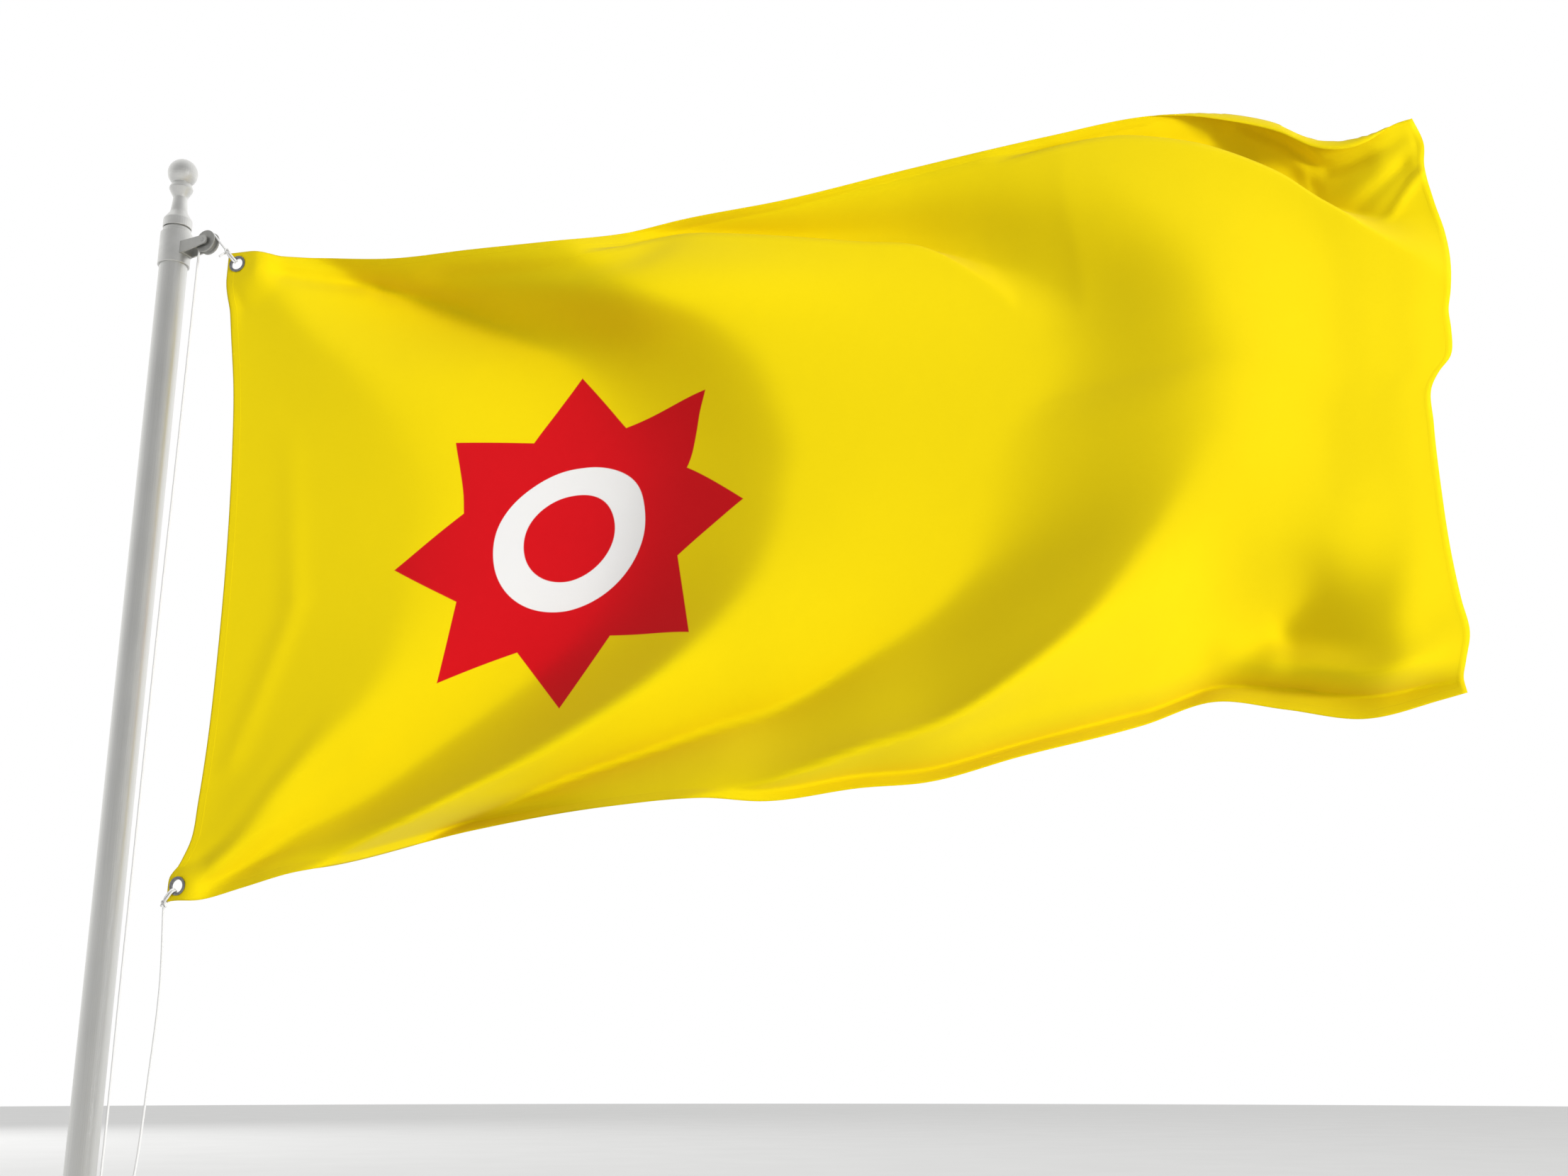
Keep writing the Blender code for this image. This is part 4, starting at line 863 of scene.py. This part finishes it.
def make_flag(finish):
    """The cloth: both faces and the rim of its folds, with a hole in each eyelet."""
    columns = np.concatenate([
        np.linspace(0, FINE_CORNER / FLY, FINE_CORNER_COLUMNS, endpoint=False),
        np.linspace(FINE_CORNER / FLY, 1, FINE_COLUMNS),
    ])
    t = fine_rows(columns)
    across, up = t.shape
    s = np.repeat(columns[:, None], up, axis=1)
    hole = np.zeros_like(s, bool)
    for corner in (EYELET_FROM_EDGE, HOIST - EYELET_FROM_EDGE):
        x, z = s * FLY - EYELET_FROM_HOIST, t * HOIST - corner
        reach = np.hypot(x, z)
        inner = reach < EYELET_HOLE
        hole |= reach < EYELET_HOLE - HOLE_INSIDE
        push = np.where(inner, EYELET_HOLE / np.maximum(reach, 1e-6), 1)
        s = np.where(inner, (x * push + EYELET_FROM_HOIST) / FLY, s)
        t = np.where(inner, (z * push + corner) / HOIST, t)
    points = rounded_points(s.ravel(), t.ravel()).reshape(across, up, 3)
    out = np.cross(np.gradient(points, axis=0), np.gradient(points, axis=1))
    out /= np.maximum(np.linalg.norm(out, axis=2, keepdims=True), 1e-12)
    front = (points + out * CLOTH_THICKNESS / 2).reshape(-1, 3)
    back = (points - out * CLOTH_THICKNESS / 2).reshape(-1, 3)
    count = across * up
    numbers = np.arange(count).reshape(across, up)
    cells = np.stack([numbers[:-1, :-1], numbers[1:, :-1], numbers[1:, 1:], numbers[:-1, 1:]], axis=-1)
    cells = cells.reshape(-1, 4)
    cells = cells[hole.ravel()[cells].sum(axis=1) < 1]
    sides = np.concatenate([cells[:, [0, 1]], cells[:, [1, 2]], cells[:, [2, 3]], cells[:, [3, 0]]])
    keys = {(a, b) for a, b in sides.tolist()}
    rim = np.array([(a, b) for a, b in keys if (b, a) not in keys])
    rim_faces = np.stack([rim[:, 0], rim[:, 0] + count, rim[:, 1] + count, rim[:, 1]], axis=1)
    # Both faces are split along the same diagonals, so that they don't cross in a tight fold.
    halves = np.concatenate([cells[:, [0, 1, 2]], cells[:, [0, 2, 3]]])
    rim_halves = np.concatenate([rim_faces[:, [0, 1, 2]], rim_faces[:, [0, 2, 3]]])
    faces = np.concatenate([halves, halves[:, ::-1] + count, rim_halves])
    used = np.zeros(2 * count, bool)
    used[faces.ravel()] = True
    new_number = np.cumsum(used) - 1
    both = np.concatenate([front, back])[used]
    faces = new_number[faces]
    mesh = bpy.data.meshes.new("flag")
    mesh.from_pydata(both.tolist(), [], faces.tolist())
    flat = np.stack([np.tile(s.ravel() * FLY, 2), np.tile(t.ravel() * HOIST, 2)], axis=1)[used]
    layer = mesh.uv_layers.new(name="flat")
    corners = np.zeros(len(mesh.loops), int)
    mesh.loops.foreach_get("vertex_index", corners)
    layer.data.foreach_set("uv", flat[corners].ravel())
    mesh.shade_smooth()
    mesh.materials.append(finish)
    made = bpy.data.objects.new("flag", mesh)
    bpy.context.scene.collection.objects.link(made)
    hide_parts("flag_cloth")
    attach(made, MAST)
    return made


def smooth_route(points, step=ROPE_STEP):
    """The route through the points as a smooth curve with a point at each step."""
    given = [Vector(p) for p in points]
    ends = [given[0] * 2 - given[1]] + given + [given[-1] * 2 - given[-2]]
    route = []
    for i in range(1, len(ends) - 2):
        a, b, c, d = ends[i - 1:i + 3]
        span = (c - b).length
        count = max(1, min(MOST_POINTS, math.ceil(span / step)))
        first = (c - a).normalized() * span
        last = (d - b).normalized() * span
        for j in range(count):
            u = j / count
            route.append(b * (2 * u**3 - 3 * u**2 + 1) + first * (u**3 - 2 * u**2 + u)
                         + c * (3 * u**2 - 2 * u**3) + last * (u**3 - u**2))
    route.append(given[-1])
    return route


def make_rope(name, route, radius, finish, sides=16, closed=False):
    """A round rope along its route, with its length and turn kept for the braid."""
    count = len(route)
    ways = []
    for i in range(count):
        before = route[i - 1] if i or closed else route[i]
        after = route[(i + 1) % count] if i < count - 1 or closed else route[i]
        ways.append((after - before).normalized())
    side = ways[0].orthogonal().normalized()
    points, run = [], [0.0]
    for i, (at, way) in enumerate(zip(route, ways)):
        side = (side - way * side.dot(way)).normalized()
        other = way.cross(side)
        for j in range(sides):
            angle = 2 * math.pi * j / sides
            points.append(at + side * math.cos(angle) * radius + other * math.sin(angle) * radius)
        run.append(run[-1] + ((route[(i + 1) % count] - at).length if i < count - 1 or closed else 0))
    faces, flat = [], []
    for i in range(count if closed else count - 1):
        for j in range(sides):
            k = (j + 1) % sides
            a, b = i * sides, ((i + 1) % count) * sides
            faces.append((a + j, a + k, b + k, b + j))
            left, right = j / sides, (j + 1) / sides
            flat += [(left, run[i]), (right, run[i]), (right, run[i + 1]), (left, run[i + 1])]
    if not closed:
        for end, order in ((0, -1), (count - 1, 1)):
            faces.append(tuple(end * sides + j for j in range(sides))[::order])
            flat += [(0, 0)] * sides
    mesh = bpy.data.meshes.new(name)
    mesh.from_pydata(points, [], faces)
    layer = mesh.uv_layers.new(name="flat")
    layer.data.foreach_set("uv", np.array(flat, float).ravel())
    mesh.shade_smooth()
    mesh.materials.append(finish)
    made = bpy.data.objects.new(name, mesh)
    bpy.context.scene.collection.objects.link(made)
    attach(made, MAST)
    return made


def knot_route(middle, way, out, size, turn):
    """An overhand knot as a closed line round the rope's way."""
    across = way.cross(out).normalized()
    route = []
    for i in range(KNOT_STEPS):
        u = 2 * math.pi * i / KNOT_STEPS
        x = math.sin(u) + 2 * math.sin(2 * u)
        y = math.cos(u) - 2 * math.cos(2 * u)
        z = -math.sin(3 * u)
        wide, high = math.cos(turn) * x - math.sin(turn) * y, math.sin(turn) * x + math.cos(turn) * y
        flat_place = across * wide * size / 3 + way * high * size / 3 * KNOT_SQUASH
        route.append(middle + flat_place + out * z * size * KNOT_DEPTH)
    return route


def make_halyard(finish):
    """The rope from knot to knot, its loops through the eyelets, its knots and its tail."""
    knots = knot_places()
    pieces = []
    for name, (middle, way, out) in knots.items():
        tied = knot_route(middle, way, out, KNOT_SIZE, KNOT_TURN)
        knot = make_rope(f"tied_knot_{name}", tied, KNOT_ROPE_RADIUS, finish, KNOT_SIDES, True)
        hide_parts(f"knot_{name}")
        origin = middle - way * EYELET_TO_KNOT
        reach = KNOT_RADIUS - LOOP_INTO_KNOT
        half = [(EYELET_TO_KNOT - reach, LOOP_LEAVES_KNOT), *LOOP_HALF]
        path = half + [(along_way, -off) for along_way, off in half[::-1]]
        across = way.cross(out).normalized()
        turns = []
        for aside in (LOOP_TURN_ASIDE, -LOOP_TURN_ASIDE):
            # Both turns meet in the knot and lie side by side in the eyelet.
            for away, off in path:
                apart = aside * min(1, (LOOP_MEETS_AT - away) / LOOP_MEETS_OVER)
                turns.append(origin + way * away + out * off + across * apart)
        loop = make_rope(f"tied_loop_{name}", smooth_route(turns, TIED_STEP), TIED_RADIUS, finish)
        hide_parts(f"loop_{name}")
        pieces += [knot, loop]
    upper = knots["upper"][0]
    tail = [upper + TAIL_WAY.normalized() * away + TAIL_BOW.normalized() * bow for away, bow in TAIL]
    end = make_rope("free_end", smooth_route(tail, TIED_STEP), TIED_RADIUS, finish)
    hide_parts("halyard_tail")
    pieces.append(end)
    route = smooth_route(halyard_route())
    rope = make_rope("halyard_rope", route, ROPE_RADIUS, finish)
    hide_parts("halyard")


def make_light():
    """A soft box far on the right, level with the flag, a larger faint one behind on the
    left, and a pale surround that is brighter above."""
    for name, place, size, power in LAMPS:
        lamp = bpy.data.lights.new(name, "AREA")
        lamp.shape = "SQUARE"
        lamp.size = size
        lamp.energy = power
        holder = bpy.data.objects.new(name, lamp)
        bpy.context.scene.collection.objects.link(holder)
        holder.location = place
        holder.rotation_euler = (FLAG_MIDDLE - place).to_track_quat("-Z", "Y").to_euler()
        holder.visible_glossy = False
    surround = bpy.data.worlds.new("surround")
    surround.use_nodes = True
    tree = surround.node_tree
    tree.nodes.clear()
    rays = add_node(tree, "ShaderNodeLightPath")
    seen = add_node(tree, "ShaderNodeBackground", {"Color": (1, 1, 1, 1), "Strength": 1.0})
    towards = add_node(tree, "ShaderNodeTexCoord").outputs["Generated"]
    way = add_node(tree, "ShaderNodeSeparateXYZ", {0: towards})
    above = add_node(tree, "ShaderNodeMapRange", {
        "Value": way.outputs[2], "From Min": -1.0, "To Min": LIT_BELOW, "To Max": LIT_ABOVE})
    lit = add_node(tree, "ShaderNodeBackground", {"Color": (1, 1, 1, 1), "Strength": above.outputs[0]})
    # Metal mirrors a studio that is white behind the flag and greyer in front of it.
    from_front = add_node(tree, "ShaderNodeMapRange", {
        "Value": way.outputs[1], "From Min": -0.8, "From Max": 0.6, "To Min": MIRRORED_IN_FRONT,
        "To Max": MIRRORED_BEHIND})
    studio = add_node(tree, "ShaderNodeBackground",
                      {"Color": (1, 1, 0.99, 1), "Strength": from_front.outputs[0]})
    lit = add_node(tree, "ShaderNodeMixShader",
                   {0: rays.outputs["Is Glossy Ray"], 1: lit.outputs[0], 2: studio.outputs[0]})
    both = add_node(tree, "ShaderNodeMixShader",
                    {0: rays.outputs["Is Camera Ray"], 1: lit.outputs[0], 2: seen.outputs[0]})
    add_node(tree, "ShaderNodeOutputWorld", {0: both.outputs[0]})
    bpy.context.scene.world = surround
    bpy.context.scene.view_settings.view_transform = "Standard"


def make_floor(finish):
    """A wide round floor, a millimetre under the pole's foot."""
    mesh = bpy.data.meshes.new("floor")
    shape = bmesh.new()
    bmesh.ops.create_circle(shape, cap_ends=True, segments=96, radius=FLOOR_RADIUS)
    shape.to_mesh(mesh)
    shape.free()
    mesh.materials.append(finish)
    floor = bpy.data.objects.new("floor", mesh)
    bpy.context.scene.collection.objects.link(floor)
    floor.location = FLOOR_MIDDLE


def finish_nodes(finishes):
    """Gives each CAD piece that stays in view its own finish."""
    for name, finish in finishes.items():
        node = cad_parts[name]
        node.data.materials.clear()
        node.data.materials.append(finish)


make_camera()
make_halyard(rope_material())
make_flag(flag_material())
pole_finish, turned_finish = pole_material(), turned_material()
cast_finish, screw_finish, ring_finish = cast_material(), screw_material(), eyelet_material()
finish_nodes({
    "pole": pole_finish,
    "truck_collar": turned_finish,
    "finial": turned_finish,
    "truck_bracket": cast_finish,
    "sheave": cast_finish,
    "axle": screw_finish,
    "cleat": cast_finish,
    "cleat_screw_upper": screw_finish,
    "cleat_screw_lower": screw_finish,
    "eyelet_upper": ring_finish,
    "eyelet_lower": ring_finish,
})
make_light()
make_floor(floor_material())
